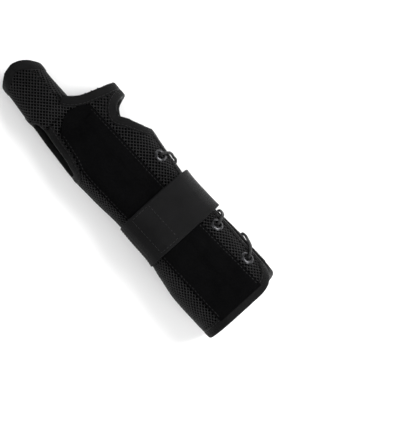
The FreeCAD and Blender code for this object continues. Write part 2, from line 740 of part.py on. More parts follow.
os.makedirs("parts", exist_ok=True)
for label in NODES:
    shape = doc.getObjectsByLabel(label)[0].Shape
    if shape.isNull() or not shape.isValid() or not shape.Solids:
        raise RuntimeError(f"{label} has no valid solid")
    print(f"{label}: {len(shape.Solids)} solids, {shape.Volume:.0f} mm3")
    shape.exportStep(os.path.join("parts", label + ".step"))
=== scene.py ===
"""Blender looks for the wrist splint: cloth, tapes, strap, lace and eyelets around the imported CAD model.

Lengths in this script are millimetres, turned into metres where a mesh is made. A place on the cloth is
(x, s, h): x along the forearm, s along the cloth round it from the middle of the back (positive towards
the little finger), and h out from the mesh's outer face.
"""
import math

import bmesh
import bpy
import numpy as np
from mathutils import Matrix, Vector


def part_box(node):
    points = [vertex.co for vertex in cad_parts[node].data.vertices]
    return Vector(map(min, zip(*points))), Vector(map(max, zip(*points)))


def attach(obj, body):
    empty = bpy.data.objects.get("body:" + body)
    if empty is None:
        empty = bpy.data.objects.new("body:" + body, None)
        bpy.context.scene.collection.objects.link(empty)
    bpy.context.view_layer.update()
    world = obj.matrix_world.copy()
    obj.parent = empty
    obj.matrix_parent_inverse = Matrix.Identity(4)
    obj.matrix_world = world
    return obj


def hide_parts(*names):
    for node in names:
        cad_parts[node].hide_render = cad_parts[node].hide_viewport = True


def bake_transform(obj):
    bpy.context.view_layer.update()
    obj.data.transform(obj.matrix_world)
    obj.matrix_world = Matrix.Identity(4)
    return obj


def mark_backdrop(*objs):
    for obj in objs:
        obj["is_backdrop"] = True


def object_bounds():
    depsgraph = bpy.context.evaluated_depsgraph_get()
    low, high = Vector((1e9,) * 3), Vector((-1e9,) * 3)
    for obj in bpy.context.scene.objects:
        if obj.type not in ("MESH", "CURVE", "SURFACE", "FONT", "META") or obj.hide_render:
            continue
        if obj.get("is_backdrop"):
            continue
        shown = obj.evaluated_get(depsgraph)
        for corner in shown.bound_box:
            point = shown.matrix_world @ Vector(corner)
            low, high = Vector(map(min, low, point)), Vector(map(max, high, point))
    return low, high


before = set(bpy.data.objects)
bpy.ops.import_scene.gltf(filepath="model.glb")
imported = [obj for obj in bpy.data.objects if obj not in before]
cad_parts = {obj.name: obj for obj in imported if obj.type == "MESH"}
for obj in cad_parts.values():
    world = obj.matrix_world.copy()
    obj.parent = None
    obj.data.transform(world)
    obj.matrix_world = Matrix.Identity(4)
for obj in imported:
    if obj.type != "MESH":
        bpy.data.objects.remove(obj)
cad_low, cad_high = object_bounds()

MM = 0.001


def box_mm(node):
    """Lowest and highest corner of a CAD node in millimetres."""
    low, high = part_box(node)
    return np.array(low) * 1000, np.array(high) * 1000


# ---- Sizes taken from the frame ----

hand_high = box_mm("dorsal_mesh_panel")[1]
palm_low, palm_high = box_mm("volar_mesh_panel")
finger_high = box_mm("finger_sleeve_dorsal")[1]
strap_low, strap_high = box_mm("strap_woven_run")
tail_low, tail_high = box_mm("strap_tail")
loop_low, loop_high = box_mm("dorsal_loop_panel")
JOIN = hand_high[0]
END = box_mm("finger_sleeve_binding")[1][0] - 1.5
CUFF_TOP = hand_high[2]
KNUCKLE_TOP = finger_high[2]
FLOOR = palm_low[2]
RADIAL = -palm_low[1]
ULNAR = palm_high[1]
STRAP_FROM, STRAP_TO = strap_low[0], strap_high[0]
STRAP_MIDDLE = (STRAP_FROM + STRAP_TO) / 2
LAMINATE = 3.0
GAP = 15.0  # laced gap between the panels
EDGE_DROP = 15.0  # from the back line down to the laced edge
LINING_DEPTH = 0.25  # from the mesh's outer face down to the foam's
LINING_GAP = 0.15  # from the foam's inner face to the wall's
TAPE_WIDTH = 8.5
TAPE_RIB = 0.2
STRAP_SPLICE = box_mm("strap_elastic_run")[0][1]  # y of the seam between the strap and its elastic
STRAP_HINGE = tail_low[1]
PITCH_X, PITCH_S = 4.1, 3.7  # size of the mesh's diamonds
STITCH, STITCH_GAP, THREAD_WIDE = 2.6, 1.1, 0.42
CAMERA_TURN = -132.2  # degrees from the frame's X axis to the picture's right-hand side
VIEW_X, VIEW_Y = 0.337 * JOIN, -0.45 * RADIAL
VIEW_HEIGHT = 400.0
CAMERA_HEIGHT = 1.5  # metres

# Shares of the hand's length, thumb side, little-finger side, corner radius on the back and the palm.
HAND_SHARES = [
    (-0.03, 0.80, 0.985, 25, 18), (0.0, 0.81, 1.0, 25, 18), (0.10, 0.83, 1.01, 25, 18),
    (0.22, 0.83, 0.995, 24, 17), (0.30, 0.81, 0.93, 23, 16), (0.345, 0.775, 0.85, 22, 15),
    (0.42, 0.775, 0.835, 21, 15), (0.51, 0.79, 0.815, 20, 15), (0.56, 0.83, 0.83, 19, 14),
    (0.66, 0.88, 0.88, 18, 14), (0.74, 0.93, 0.90, 17, 13), (0.85, 0.98, 0.86, 17, 13),
    (1.0, 1.0, 0.79, 16, 13), (1.06, 1.0, 0.78, 16, 13),
]
FINGER_SHARES = [
    (-0.25, 0.19, 0.80, 3, 16), (0.0, 0.19, 0.79, 6, 15), (0.25, 0.185, 0.77, 11, 13),
    (0.7, 0.205, 0.72, 12, 12), (1.05, 0.215, 0.67, 12, 12),
]


# ---- The cloth's surface ----

def lengths(points):
    """Distance along a line of points from its first."""
    return np.concatenate([[0], np.cumsum(np.linalg.norm(np.diff(points, axis=0), axis=1))])


def points_at(distances, points, along):
    """Places at distances along a line of points."""
    return np.stack([np.interp(distances, along, column) for column in np.asarray(points).T], -1)


def bell(sigma):
    """A Gaussian kernel and its reach to each side."""
    reach = int(3 * sigma) + 1
    kernel = np.exp(-0.5 * (np.arange(-reach, reach + 1) / sigma) ** 2)
    return kernel / kernel.sum(), reach


def smooth(values, sigma):
    """Gaussian smoothing with held ends."""
    kernel, reach = bell(sigma)
    return np.convolve(np.pad(values, reach, "edge"), kernel, "valid")


def relaxed(points, count=720, spread=3.0):
    """A closed outline at even spacing with its corners softened over spread millimetres."""
    closed = np.vstack([points, points[:1]])
    along = lengths(closed)
    ring = points_at(np.linspace(0, along[-1], count, endpoint=False), closed, along)
    kernel, reach = bell(spread * count / along[-1])
    return np.stack([np.convolve(np.pad(column, reach, "wrap"), kernel, "valid") for column in ring.T], 1)


CROWN = 1.6  # extra rise of the back's middle
NARROW_HEEL = 9.0  # largest corner radius on the palm side of the finger sleeve


class Cloth:
    """A closed tube of cloth, tabled by x and by s, so that points on it are looked up at once."""

    STEP = 0.5

    def __init__(self, x_start, x_end, shares, x_of, middle, top_of, narrow=False):
        self.xs = np.arange(x_start, x_end + 0.5, 1.0)
        table = np.array(shares, float)
        places = np.array([x_of(share) for share in table[:, 0]])
        columns = [smooth(np.interp(self.xs, places, table[:, k]), 5) for k in range(1, table.shape[1])]
        self.s = np.arange(-200.0, 340.0, self.STEP)
        self.points = np.zeros((len(self.xs), len(self.s), 3))
        self.length = np.zeros(len(self.xs))
        self.bottom = np.zeros(len(self.xs))
        for row, x in enumerate(self.xs):
            ring = self.section([column[row] for column in columns], middle, top_of(x), narrow)
            closed = np.vstack([ring, ring[:1]])
            along = lengths(closed)
            self.length[row] = along[-1]
            self.points[row, :, 0] = x
            self.points[row, :, 1:] = points_at(np.mod(self.s, along[-1]), closed, along)
            low = np.abs(closed[:, 0] - middle) + 3 * (closed[:, 1] - closed[:, 1].min())
            self.bottom[row] = along[int(np.argmin(low))]
        along_x = np.gradient(self.points, axis=0)
        along_s = np.gradient(self.points, axis=1)
        normal = np.cross(along_x, along_s)
        self.normals = normal / np.linalg.norm(normal, axis=2, keepdims=True)

    def section(self, values, middle, top, narrow):
        """Points round the section from the middle of the back, towards the little finger."""
        radial, ulnar = values[0] * RADIAL, values[1] * ULNAR
        back, heel = values[2], values[3]
        if narrow:
            heel = min(heel, NARROW_HEEL)
        corners = [(ulnar - back, top - back, back, 90), (ulnar - heel, FLOOR + heel, heel, 0),
                   (heel - radial, FLOOR + heel, heel, -90), (back - radial, top - back, back, 180)]
        points = []
        for y, z, radius, start in corners:
            angles = np.radians(np.linspace(start, start - 90, 16))
            points += list(zip(y + radius * np.cos(angles), z + radius * np.sin(angles)))
        ring = relaxed(np.array(points))
        half = (radial + ulnar) / 2
        share = np.clip(1 - ((ring[:, 0] - (ulnar - radial) / 2) / half) ** 2, 0, 1)
        rise = np.clip((ring[:, 1] - FLOOR) / (top - FLOOR) * 2 - 1, 0, 1)
        ring[:, 1] += CROWN * share * rise
        upper = np.where(ring[:, 1] > (top + FLOOR) / 2)[0]
        start = upper[int(np.argmin(np.abs(ring[upper, 0] - middle)))]
        return np.roll(ring, -start, axis=0)

    def find(self, table, x, s):
        """Bilinear lookup of a table at x and s."""
        fx = np.clip((x - self.xs[0]), 0, len(self.xs) - 1.001)
        fs = np.clip((s - self.s[0]) / self.STEP, 0, len(self.s) - 1.001)
        i, j = fx.astype(int), fs.astype(int)
        u, v = (fx - i)[:, None], (fs - j)[:, None]
        return ((table[i, j] * (1 - u) + table[i + 1, j] * u) * (1 - v)
                + (table[i, j + 1] * (1 - u) + table[i + 1, j + 1] * u) * v)

    def at(self, x, s, h):
        """Points h out from the cloth's outer face at x and s."""
        x, s, h = np.broadcast_arrays(*[np.asarray(value, float) for value in (x, s, h)])
        shape = x.shape
        x, s, h = x.ravel(), s.ravel(), h.ravel()
        wave = ripple(x, s)
        out = self.find(self.points, x, s) + self.find(self.normals, x, s) * (h + wave)[:, None]
        out[:, 0] += x - np.clip(x, self.xs[0], self.xs[-1])
        return out.reshape(shape + (3,))

    def normal(self, x, s):
        """The cloth's outward direction at x and s."""
        x, s = np.broadcast_arrays(np.asarray(x, float), np.asarray(s, float))
        return self.find(self.normals, x.ravel(), s.ravel()).reshape(x.shape + (3,))

    def s_where(self, x, axis, value, low, high):
        """s between low and high where the section at x passes value along axis."""
        row = int(np.clip(round(x - self.xs[0]), 0, len(self.xs) - 1))
        span = (self.s >= low) & (self.s <= high)
        column = self.points[row, span, axis]
        return float(self.s[span][int(np.argmin(np.abs(column - value)))])

    def turn(self, x):
        """Length of cloth right round at x."""
        return np.interp(x, self.xs, self.length)

    def heel(self, x):
        """s of the middle of the palm side at x."""
        return float(np.interp(x, self.xs, self.bottom))


def ripple(x, s):
    """Soft unevenness of worn cloth."""
    return (0.35 * np.sin(x / 13.0 + s / 29.0) * np.sin(s / 17.0 + 1.3)
            + 0.25 * np.sin(x / 7.5 - s / 11.0 + 0.7) * np.sin(x / 31.0))


def hand_top(x):
    """Height of the back of the hand part at x."""
    return CUFF_TOP + (KNUCKLE_TOP - CUFF_TOP) * x / JOIN


def finger_top(x):
    """Height of the back of the finger sleeve at x."""
    start, end = hand_top(JOIN), KNUCKLE_TOP - 8.5
    return hand_top(x) if x < JOIN else start + (end - start) * (x - JOIN) / (END - JOIN)


HAND = Cloth(-6, JOIN + 8, HAND_SHARES, lambda share: share * JOIN, 0.0, hand_top)
FINGERS = Cloth(JOIN - 16, END + 4, FINGER_SHARES, lambda share: JOIN + share * (END - JOIN),
                10.0, finger_top, narrow=True)


# ---- Mesh helpers ----

def mesh_object(name, points, faces, uvs, finish, closed=False, shade_smooth=True):
    """A mesh object from millimetre points, with UVs in millimetres of cloth."""
    data = bpy.data.meshes.new(name)
    corners = [tuple(point) for point in np.asarray(points) * MM]
    data.from_pydata(corners, [], [tuple(int(v) for v in face) for face in faces])
    data.validate()
    if closed:
        turned = bmesh.new()
        turned.from_mesh(data)
        bmesh.ops.recalc_face_normals(turned, faces=turned.faces)
        turned.to_mesh(data)
        turned.free()
    if uvs is not None:
        layer = data.uv_layers.new(name="cloth")
        loops = np.zeros(len(data.loops), int)
        data.loops.foreach_get("vertex_index", loops)
        layer.data.foreach_set("uv", np.asarray(uvs, float)[loops].ravel())
    data.polygons.foreach_set("use_smooth", [shade_smooth] * len(data.polygons))
    data.materials.append(finish)
    obj = bpy.data.objects.new(name, data)
    bpy.context.scene.collection.objects.link(obj)
    return obj


def apply_modifiers(obj):
    """Bake an object's modifiers into its mesh."""
    graph = bpy.context.evaluated_depsgraph_get()
    baked = bpy.data.meshes.new_from_object(obj.evaluated_get(graph))
    obj.modifiers.clear()
    obj.data = baked


def solid(obj, thickness):
    """Give a sheet its thickness, inwards from its face."""
    shell = obj.modifiers.new("thickness", "SOLIDIFY")
    shell.thickness = thickness * MM
    shell.offset = -1
    shell.use_even_offset = False
    apply_modifiers(obj)
    for polygon in obj.data.polygons:
        polygon.use_smooth = True
    return obj


def inside(polygon, x, s):
    """Whether points lie inside a polygon of (x, s) corners."""
    polygon = np.asarray(polygon, float)
    result = np.zeros(np.shape(x), bool)
    for (x0, s0), (x1, s1) in zip(polygon, np.roll(polygon, -1, axis=0)):
        crosses = (s0 > s) != (s1 > s)
        with np.errstate(divide="ignore", invalid="ignore"):
            at = (x1 - x0) * (s - s0) / (s1 - s0) + x0
        result ^= crosses & (x < at)
    return result


def grid_quads(shape):
    """Corner numbers of the quads of a grid of points."""
    index = np.arange(shape[0] * shape[1]).reshape(shape)
    return np.stack([index[:-1, :-1], index[1:, :-1], index[1:, 1:], index[:-1, 1:]], -1).reshape(-1, 4)


def foam(name, cloth, keep, x_range, s_range, step=1.6):
    """The foam and lining of a panel, cut to keep(x, s)."""
    xs = np.arange(x_range[0], x_range[1] + step, step)
    ss = np.arange(s_range[0], s_range[1] + step, step)
    grid_x, grid_s = np.meshgrid(xs, ss, indexing="ij")
    flat = np.stack([grid_x.ravel(), grid_s.ravel()], 1)
    quads = grid_quads(grid_x.shape)
    quads = quads[keep(*flat[quads].mean(1).T)]
    used, compact = np.unique(quads, return_inverse=True)
    points = cloth.at(*flat[used].T, -LINING_DEPTH)
    sheet = mesh_object(name, points, compact.reshape(quads.shape), flat[used], LINING)
    return solid(sheet, LAMINATE - LINING_DEPTH - LINING_GAP)


CELL = np.array([(0.5, 0), (0.25, 0.25), (0, 0.5), (-0.25, 0.25),
                 (-0.5, 0), (-0.25, -0.25), (0, -0.5), (0.25, -0.25)])
HOLE = np.array([(0.36, 0), (0.22, 0.21), (0, 0.36), (-0.22, 0.21),
                 (-0.36, 0), (-0.22, -0.21), (0, -0.36), (0.22, -0.21)])


def lattice(name, cloth, keep, x_range, s_range):
    """Knitted diamond mesh: every diamond cell has a raised rim that drops to the lining at its hole."""
    nx = int((x_range[1] - x_range[0]) / PITCH_X) + 1
    ns = int((s_range[1] - s_range[0]) / PITCH_S) + 1
    centres = []
    for shift in (0.0, 0.5):
        gx, gs = np.meshgrid(x_range[0] + (np.arange(nx) + shift) * PITCH_X,
                             s_range[0] + (np.arange(ns) + shift) * PITCH_S, indexing="ij")
        centres.append(np.stack([gx.ravel(), gs.ravel()], 1))
    centres = np.vstack(centres)
    centres = centres[keep(centres[:, 0], centres[:, 1])]
    pitch = np.array([PITCH_X, PITCH_S])
    sides, count = len(CELL), len(centres)
    outer, rim, drop = [(centres[:, None, :] + shape * pitch).reshape(-1, 2)
                        for shape in (CELL, HOLE, HOLE * 0.86)]
    keys = np.round(outer * 50).astype(int)
    _, first, shared = np.unique(keys, axis=0, return_index=True, return_inverse=True)
    shared = shared.ravel().reshape(count, sides)
    offset = len(first)
    rims = offset + np.arange(count * sides).reshape(count, sides)
    drops = rims + count * sides
    faces = []
    for near, far in ((rims, shared), (drops, rims)):
        faces.append(np.stack([far, np.roll(far, -1, 1), np.roll(near, -1, 1), near], -1).reshape(-1, 4))
    flat = np.vstack([outer[first], rim, drop])
    height = np.repeat([0.75, 0.5, -0.45], [offset, len(rim), len(drop)])
    return mesh_object(name, cloth.at(*flat.T, height), np.vstack(faces), flat, MESH)


def curve_points(controls, closed=False, step=0.8):
    """Even points along a Catmull-Rom curve through control points."""
    controls = np.asarray(controls, float)
    if closed:
        before, after = controls[-1:], controls[:2]
    else:
        before, after = 2 * controls[:1] - controls[1:2], 2 * controls[-1:] - controls[-2:-1]
    ring = np.vstack([before, controls, after])
    samples = []
    for p0, p1, p2, p3 in zip(ring, ring[1:], ring[2:], ring[3:]):
        t = np.linspace(0, 1, 24, endpoint=False)[:, None]
        samples.append(0.5 * (2 * p1 + (p2 - p0) * t + (2 * p0 - 5 * p1 + 4 * p2 - p3) * t ** 2
                              + (3 * p1 - p0 - 3 * p2 + p3) * t ** 3))
    samples = np.vstack(samples + [samples[0][:1] if closed else controls[-1:]])
    along = lengths(samples)
    count = max(4, int(round(along[-1] / step)))
    even = np.linspace(0, along[-1], count + 1)
    return points_at(even[:-1] if closed else even, samples, along)


def sweep(name, rings, finish, uvs, closed=False):
    """A tube through rings of points, closed on itself or with capped ends."""
    rings = np.asarray(rings)
    count, size = rings.shape[:2]
    index = np.arange(count * size).reshape(count, size)
    faces = []
    for here, there in zip(index, np.roll(index, -1, axis=0) if closed else index[1:]):
        faces += list(np.stack([here, np.roll(here, -1), np.roll(there, -1), there], 1))
    if not closed:
        faces += [index[0][::-1], index[-1]]
    return mesh_object(name, rings.reshape(-1, 3), faces, uvs, finish, closed=True)


def outward(edge, closed, wrap=None):
    """The direction in (x, s) out of the cloth at each point of an edge with the cloth on its left."""
    if closed:
        ahead, behind = np.roll(edge, -1, axis=0), np.roll(edge, 1, axis=0)
    else:
        ahead, behind = np.vstack([edge[1:], edge[-1:]]), np.vstack([edge[:1], edge[:-1]])
    direction = ahead - behind
    if wrap:
        direction[:, 1] = (direction[:, 1] + wrap / 2) % wrap - wrap / 2
    direction /= np.maximum(np.linalg.norm(direction, axis=1, keepdims=True), 1e-6)
    return np.stack([direction[:, 1], -direction[:, 0]], 1)


def tape(name, cloth, edge, width, closed, wrap=None):
    """A binding tape folded over a raw edge given as (x, s) points, cloth on its left-hand side.

    A tape that runs right round the cloth gives in wrap the turn that its s values are measured on.
    """
    w = width
    profile = [(-w, 0.45), (-w + 0.25, 1.0), (-w + 0.9, 1.3), (-w + 1.5, 1.08), (-w + 2.2, 1.38),
               (-w * 0.55, 1.5), (-w * 0.3, 1.5), (-1.0, 1.45), (0.2, 1.3), (1.0, 0.75), (1.45, -0.3),
               (1.5, -1.5), (1.4, -2.8), (0.9, -3.8), (0.1, -4.3), (-1.2, -4.45), (-w * 0.35, -4.5),
               (-w + 2.2, -4.4), (-w + 1.5, -4.1), (-w + 0.8, -4.3), (-w, -3.7), (-w, -3.05),
               (-w * 0.5, -3.02), (0.35, -3.02), (0.4, -1.5), (0.35, 0.05), (-w * 0.5, 0.1)]
    across, height = np.array(profile).T
    rings, uvs = [], []
    for (x, s), (ox, os), distance in zip(edge, outward(edge, closed, wrap), lengths(edge)):
        ribs = TAPE_RIB * np.sin((distance + across * 0.8) * 2 * math.pi / 2.1)
        worn = np.where((height > 1.2) | (height < -4.2), ribs, 0) * np.sign(height + 1.5)
        scale = cloth.turn(x + ox * across) / wrap if wrap else 1.0
        rings.append(cloth.at(x + ox * across, (s + os * across) * scale, height + worn))
        uvs += list(zip(np.full(len(across), distance), across + height))
    return sweep(name, rings, BINDING, uvs, closed)


def add_stack(verts, faces, rings):
    """Add a small closed piece through a few rings of points."""
    size = len(rings[0])
    ring = len(verts) + np.arange(size)
    faces.append(ring[::-1])
    for _ in rings[1:]:
        faces += list(np.stack([ring, np.roll(ring, -1), np.roll(ring, -1) + size, ring + size], 1))
        ring = ring + size
    faces.append(ring)
    verts += list(np.vstack(rings))


def stitches(name, points, normals):
    """A run of sewn thread stitches along points, each a small rounded bar half sunk in the cloth."""
    along = lengths(points)
    angles = 2 * math.pi * np.arange(6) / 6
    verts, faces = [], []
    for start in np.arange(0.5, along[-1] - STITCH, STITCH + STITCH_GAP):
        rings = []
        for share, size in ((0.0, 0.25), (0.12, 0.8), (0.5, 1.0), (0.88, 0.8), (1.0, 0.25)):
            distance = start + share * STITCH
            centre, up = points_at(distance, points, along), points_at(distance, normals, along)
            side = np.cross(up, points_at(distance + 0.3, points, along) - centre)
            side /= max(np.linalg.norm(side), 1e-6)
            lift = THREAD_WIDE * (0.35 - 0.9 * (share - 0.5) ** 2)
            wide = THREAD_WIDE * size
            rings.append(centre + np.outer(lift + np.sin(angles) * wide / 2, up)
                         + np.outer(np.cos(angles) * wide * 0.7, side))
        add_stack(verts, faces, rings)
    return mesh_object(name, verts, faces, None, THREAD, closed=True)


def flat_ring(x, s, upper, lower, origin=(0, 0)):
    """A ring round a flat piece on the hand's cloth, along its outer face and back along its inner one."""
    flat = np.stack(np.broadcast_arrays(x, s), 1)
    ring = np.vstack([HAND.at(x, s, upper), HAND.at(x, s, lower)[::-1]])
    return ring, list(np.vstack([flat, flat[::-1]]) - origin)


def sew(name, x, s, h, slot, body="sleeve"):
    """A row of stitches on the hand's cloth."""
    dress(stitches(name, HAND.at(x, s, h), HAND.normal(x, s)), slot, body=body)


def braid(distance, angles):
    """Radius of a braided cord: two sets of strands wound in opposite directions."""
    turn = 2 * math.pi * distance / 6.0
    return 0.93 + 0.09 * np.abs(np.sin(4 * angles + turn)) + 0.05 * np.abs(np.sin(4 * angles - turn))


def cord(name, path, radius, sides):
    """A braided cord along 3-D points in millimetres."""
    tangents = np.gradient(path, axis=0)
    tangents /= np.linalg.norm(tangents, axis=1, keepdims=True)
    side = np.cross(tangents[0], (0.3, 0.2, 0.93))
    side /= np.linalg.norm(side)
    angles = np.linspace(0, 2 * math.pi, sides, endpoint=False)
    rings, uvs = [], []
    for point, tangent, distance in zip(path, tangents, lengths(path)):
        side = side - tangent * np.dot(side, tangent)
        side /= np.linalg.norm(side)
        up = np.cross(tangent, side)
        scale = radius * braid(distance, angles)
        reach = np.outer(np.cos(angles) * scale, side) + np.outer(np.sin(angles) * scale, up)
        rings.append(point + reach)
        uvs += [(distance, angle * radius) for angle in angles]
    return sweep(name, rings, CORD, uvs)


def lathe(profile, origin, axis, segments=40):
    """Points and faces of a turned ring: profile of (radius, height) round an axis."""
    axis = np.asarray(axis, float) / np.linalg.norm(axis)
    side = np.cross(axis, (1.0, 0.0, 0.0))
    side /= np.linalg.norm(side)
    other = np.cross(axis, side)
    verts, faces = [], []
    size = len(profile)
    for k in range(segments):
        angle = 2 * math.pi * k / segments
        out = side * math.cos(angle) + other * math.sin(angle)
        verts += [np.asarray(origin) + out * r + axis * z for r, z in profile]
        for j in range(size):
            a, b = k * size + j, k * size + (j + 1) % size
            c, d = ((k + 1) % segments) * size + (j + 1) % size, ((k + 1) % segments) * size + j
            faces.append((a, b, c, d))
    return verts, faces


def finish_node(node, finish):
    """Give a kept CAD node its finish."""
    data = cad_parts[node].data
    data.materials.clear()
    data.materials.append(finish)


def dress(obj, slot, *nodes, body="sleeve"):
    """Put a piece on its body and hide the CAD nodes that it stands for."""
    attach(obj, body)
    if nodes:
        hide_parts(*nodes)
    return obj


# ---- Finishes ----

def material(name):
    """An empty material, a maker of its nodes, and ways to link and to set its shader's sockets."""
    made = bpy.data.materials.new(name)
    made.use_nodes = True
    tree = made.node_tree
    shader = tree.nodes["Principled BSDF"]

    def node(kind, inputs=None, **settings):
        item = tree.nodes.new(kind)
        for key, value in settings.items():
            setattr(item, key, value)
        for key, value in (inputs or {}).items():
            if isinstance(value, bpy.types.NodeSocket):
                tree.links.new(value, item.inputs[key])
            else:
                item.inputs[key].default_value = value
        return item

    def link(output, name):
        tree.links.new(output, shader.inputs[name])

    def settle(**values):
        for key, value in values.items():
            shader.inputs[key.replace("_", " ")].default_value = value

    return made, node, link, settle


def shades(node, factor, dark, light, low=0.0, high=1.0):
    """A colour ramp between two greys with a slight cool cast."""
    ramp = node("ShaderNodeValToRGB", {"Fac": factor})
    ramp.color_ramp.elements[0].position = low
    ramp.color_ramp.elements[1].position = high
    ramp.color_ramp.elements[0].color = (dark, dark, dark * 1.05, 1)
    ramp.color_ramp.elements[1].color = (light, light, light * 1.06, 1)
    return ramp.outputs["Color"]


def weave(name, dark, light, across, along, turn=0.0, roughness=0.4, sheen=0.0, depth=0.25, gloss=0.15):
    """Cloth with threads at a real pitch in millimetres, mottled by wear and lint."""
    made, node, link, settle = material(name)

    def math_node(operation, *values):
        inputs = dict(enumerate(values))
        return node("ShaderNodeMath", inputs, operation=operation).outputs[0]

    cloth = node("ShaderNodeUVMap", uv_map="cloth").outputs["UV"]
    turned = node("ShaderNodeMapping", {"Vector": cloth, "Rotation": (0, 0, turn)}).outputs["Vector"]
    parts = node("ShaderNodeSeparateXYZ", {"Vector": turned}).outputs
    threads = []
    for axis, pitch in (("X", along), ("Y", across)):
        threads.append(math_node("SINE", math_node("MULTIPLY", parts[axis], 2 * math.pi / pitch)))
    raised = math_node("MULTIPLY_ADD", math_node("MULTIPLY", *threads), 0.5, 0.5)
    place = node("ShaderNodeTexCoord").outputs["Object"]
    wear = node("ShaderNodeTexNoise", {"Vector": place, "Scale": 55.0, "Detail": 4.0}).outputs["Fac"]
    fuzz = node("ShaderNodeTexNoise", {"Vector": place, "Scale": 1400.0, "Detail": 3.0}).outputs["Fac"]
    factor = math_node("ADD", math_node("MULTIPLY", raised, wear), math_node("MULTIPLY", fuzz, 0.6))
    link(shades(node, factor, dark, light, 0.25, 0.8), "Base Color")
    height = math_node("ADD", raised, fuzz)
    bump = node("ShaderNodeBump", {"Height": height, "Distance": depth * MM, "Strength": 0.6})
    link(bump.outputs["Normal"], "Normal")
    settle(Roughness=roughness, Specular_IOR_Level=gloss, Sheen_Weight=sheen, Sheen_Roughness=0.45)
    return made


def metal(name, dark, light, roughness, brushed):
    """Metal with fine brushing or plating marks."""
    made, node, link, settle = material(name)
    place = node("ShaderNodeTexCoord").outputs["Object"]
    drawn = node("ShaderNodeMapping", {"Vector": place, "Scale": brushed}).outputs["Vector"]
    marks = node("ShaderNodeTexNoise", {"Vector": drawn, "Scale": 1.0, "Detail": 5.0}).outputs["Fac"]
    link(shades(node, marks, dark, light, 0.3, 0.75), "Base Color")
    spread = node("ShaderNodeMath", {0: marks, 1: 0.25, 2: roughness - 0.1}, operation="MULTIPLY_ADD")
    link(spread.outputs[0], "Roughness")
    bump = node("ShaderNodeBump", {"Height": marks, "Distance": 0.02 * MM, "Strength": 0.3})
    link(bump.outputs["Normal"], "Normal")
    settle(Metallic=1.0)
    return made


MESH = weave("mesh", 0.001, 0.010, 0.5, 0.5, roughness=0.38, gloss=0.22)
LINING = weave("lining", 0.0004, 0.0012, 0.7, 0.7, roughness=0.9, gloss=0.0)
BINDING = weave("binding", 0.0006, 0.0042, 0.55, 0.55, turn=0.8, roughness=0.42, gloss=0.07)
PILE = weave("pile", 0.001, 0.0042, 0.45, 0.45, turn=0.4, roughness=0.95, depth=0.35, gloss=0.0)
WEBBING = weave("webbing", 0.0008, 0.0065, 0.5, 0.8, roughness=0.45, gloss=0.06)
ELASTIC = weave("elastic", 0.0008, 0.004, 0.9, 0.6, roughness=0.6, gloss=0.06)
CORD = weave("cord", 0.001, 0.006, 0.6, 0.6, turn=0.7, gloss=0.2)
THREAD = weave("thread", 0.002, 0.009, 0.3, 0.3, gloss=0.2)
HOOKS = weave("hooks", 0.003, 0.008, 0.4, 0.4, gloss=0.3)
POCKET = weave("pocket", 0.003, 0.010, 0.8, 0.8, roughness=0.85, sheen=0.01)
NICKEL = metal("black_nickel", 0.02, 0.09, 0.24, (300, 300, 300))
ALUMINIUM = metal("aluminium", 0.20, 0.36, 0.38, (25, 900, 900))


# ---- Outlines on the cloth, in (x, s) ----

THUMB_WALL, FINGER_WALL = (-115, -25), (18, 100)  # s between which each side wall lies


def s_at(x, y):
    """s on the back of the hand where the cloth is at y."""
    low, high = (-70, 0) if y < 0 else (0, 54)
    return HAND.s_where(x, 1, y, low, high)


def laced_s(x, share=0.5):
    """s in the laced gap at x: share 0 is its dorsal edge, 0.5 its middle and 1 its palm edge."""
    return side_s(x, hand_top(x) - EDGE_DROP - GAP * share, False)


def palm_s(x, y):
    """s on the palm side where the cloth is at y, counted negative from the back."""
    middle = HAND.heel(x) - HAND.turn(x)
    low, high = (middle - 45, middle) if y > 0 else (middle, middle + 48)
    return HAND.s_where(x, 1, y, low, high)


def side_s(x, z, ulnar):
    """s on a side wall where the cloth is at height z."""
    return HAND.s_where(x, 2, z, *(FINGER_WALL if ulnar else THUMB_WALL))


def seam(x):
    """Height of the side seams."""
    return (FLOOR + hand_top(x)) / 2


def plan(shares, x_ends, y_ends):
    """Plan outline from shares of an opening's length and of its depth."""
    (x0, x1), (y0, y1) = x_ends, y_ends
    return [(x0 + a * (x1 - x0), y0 + b * (y1 - y0)) for a, b in shares]


def opening_ends(node, side):
    """First and last x of a bound opening, and y of its rim: its binding's box less the tape's width."""
    low, high = box_mm(node)
    rim = high[1] - TAPE_WIDTH if side < 0 else low[1] + TAPE_WIDTH
    return low[0] + TAPE_WIDTH, high[0] - TAPE_WIDTH, rim


THUMB_FROM, THUMB_TO, THUMB_RIM = opening_ends("thumb_opening_binding", -1)
ULNAR_FROM, ULNAR_TO, ULNAR_RIM = opening_ends("ulnar_opening_binding", 1)
KNUCKLE_FROM, _, KNUCKLE_RIM = opening_ends("knuckle_binding", -1)
GAP_END = (THUMB_FROM + THUMB_TO) / 2
KNUCKLE_PLAN = plan([(-0.08, -0.02), (0.06, 0.01), (0.25, 0.09), (0.50, 0.23), (0.67, 0.39), (0.81, 0.56),
                     (0.95, 0.73), (1.06, 0.93), (1.12, 2.0), (-1.7, 2.0), (-1.7, -0.02)],
                    (JOIN, KNUCKLE_FROM), (KNUCKLE_RIM, -RADIAL))
THUMB_PLAN = plan([(-0.06, 3.3), (-0.05, 1.06), (0, 0.90), (0.09, 0.73), (0.25, 0.58), (0.45, 0.38),
                   (0.60, 0.21), (0.74, 0.02), (0.86, 0.12), (0.98, 0.39), (1.03, 0.73), (1.05, 3.3)],
                  (THUMB_FROM, THUMB_TO), (THUMB_RIM, -RADIAL))
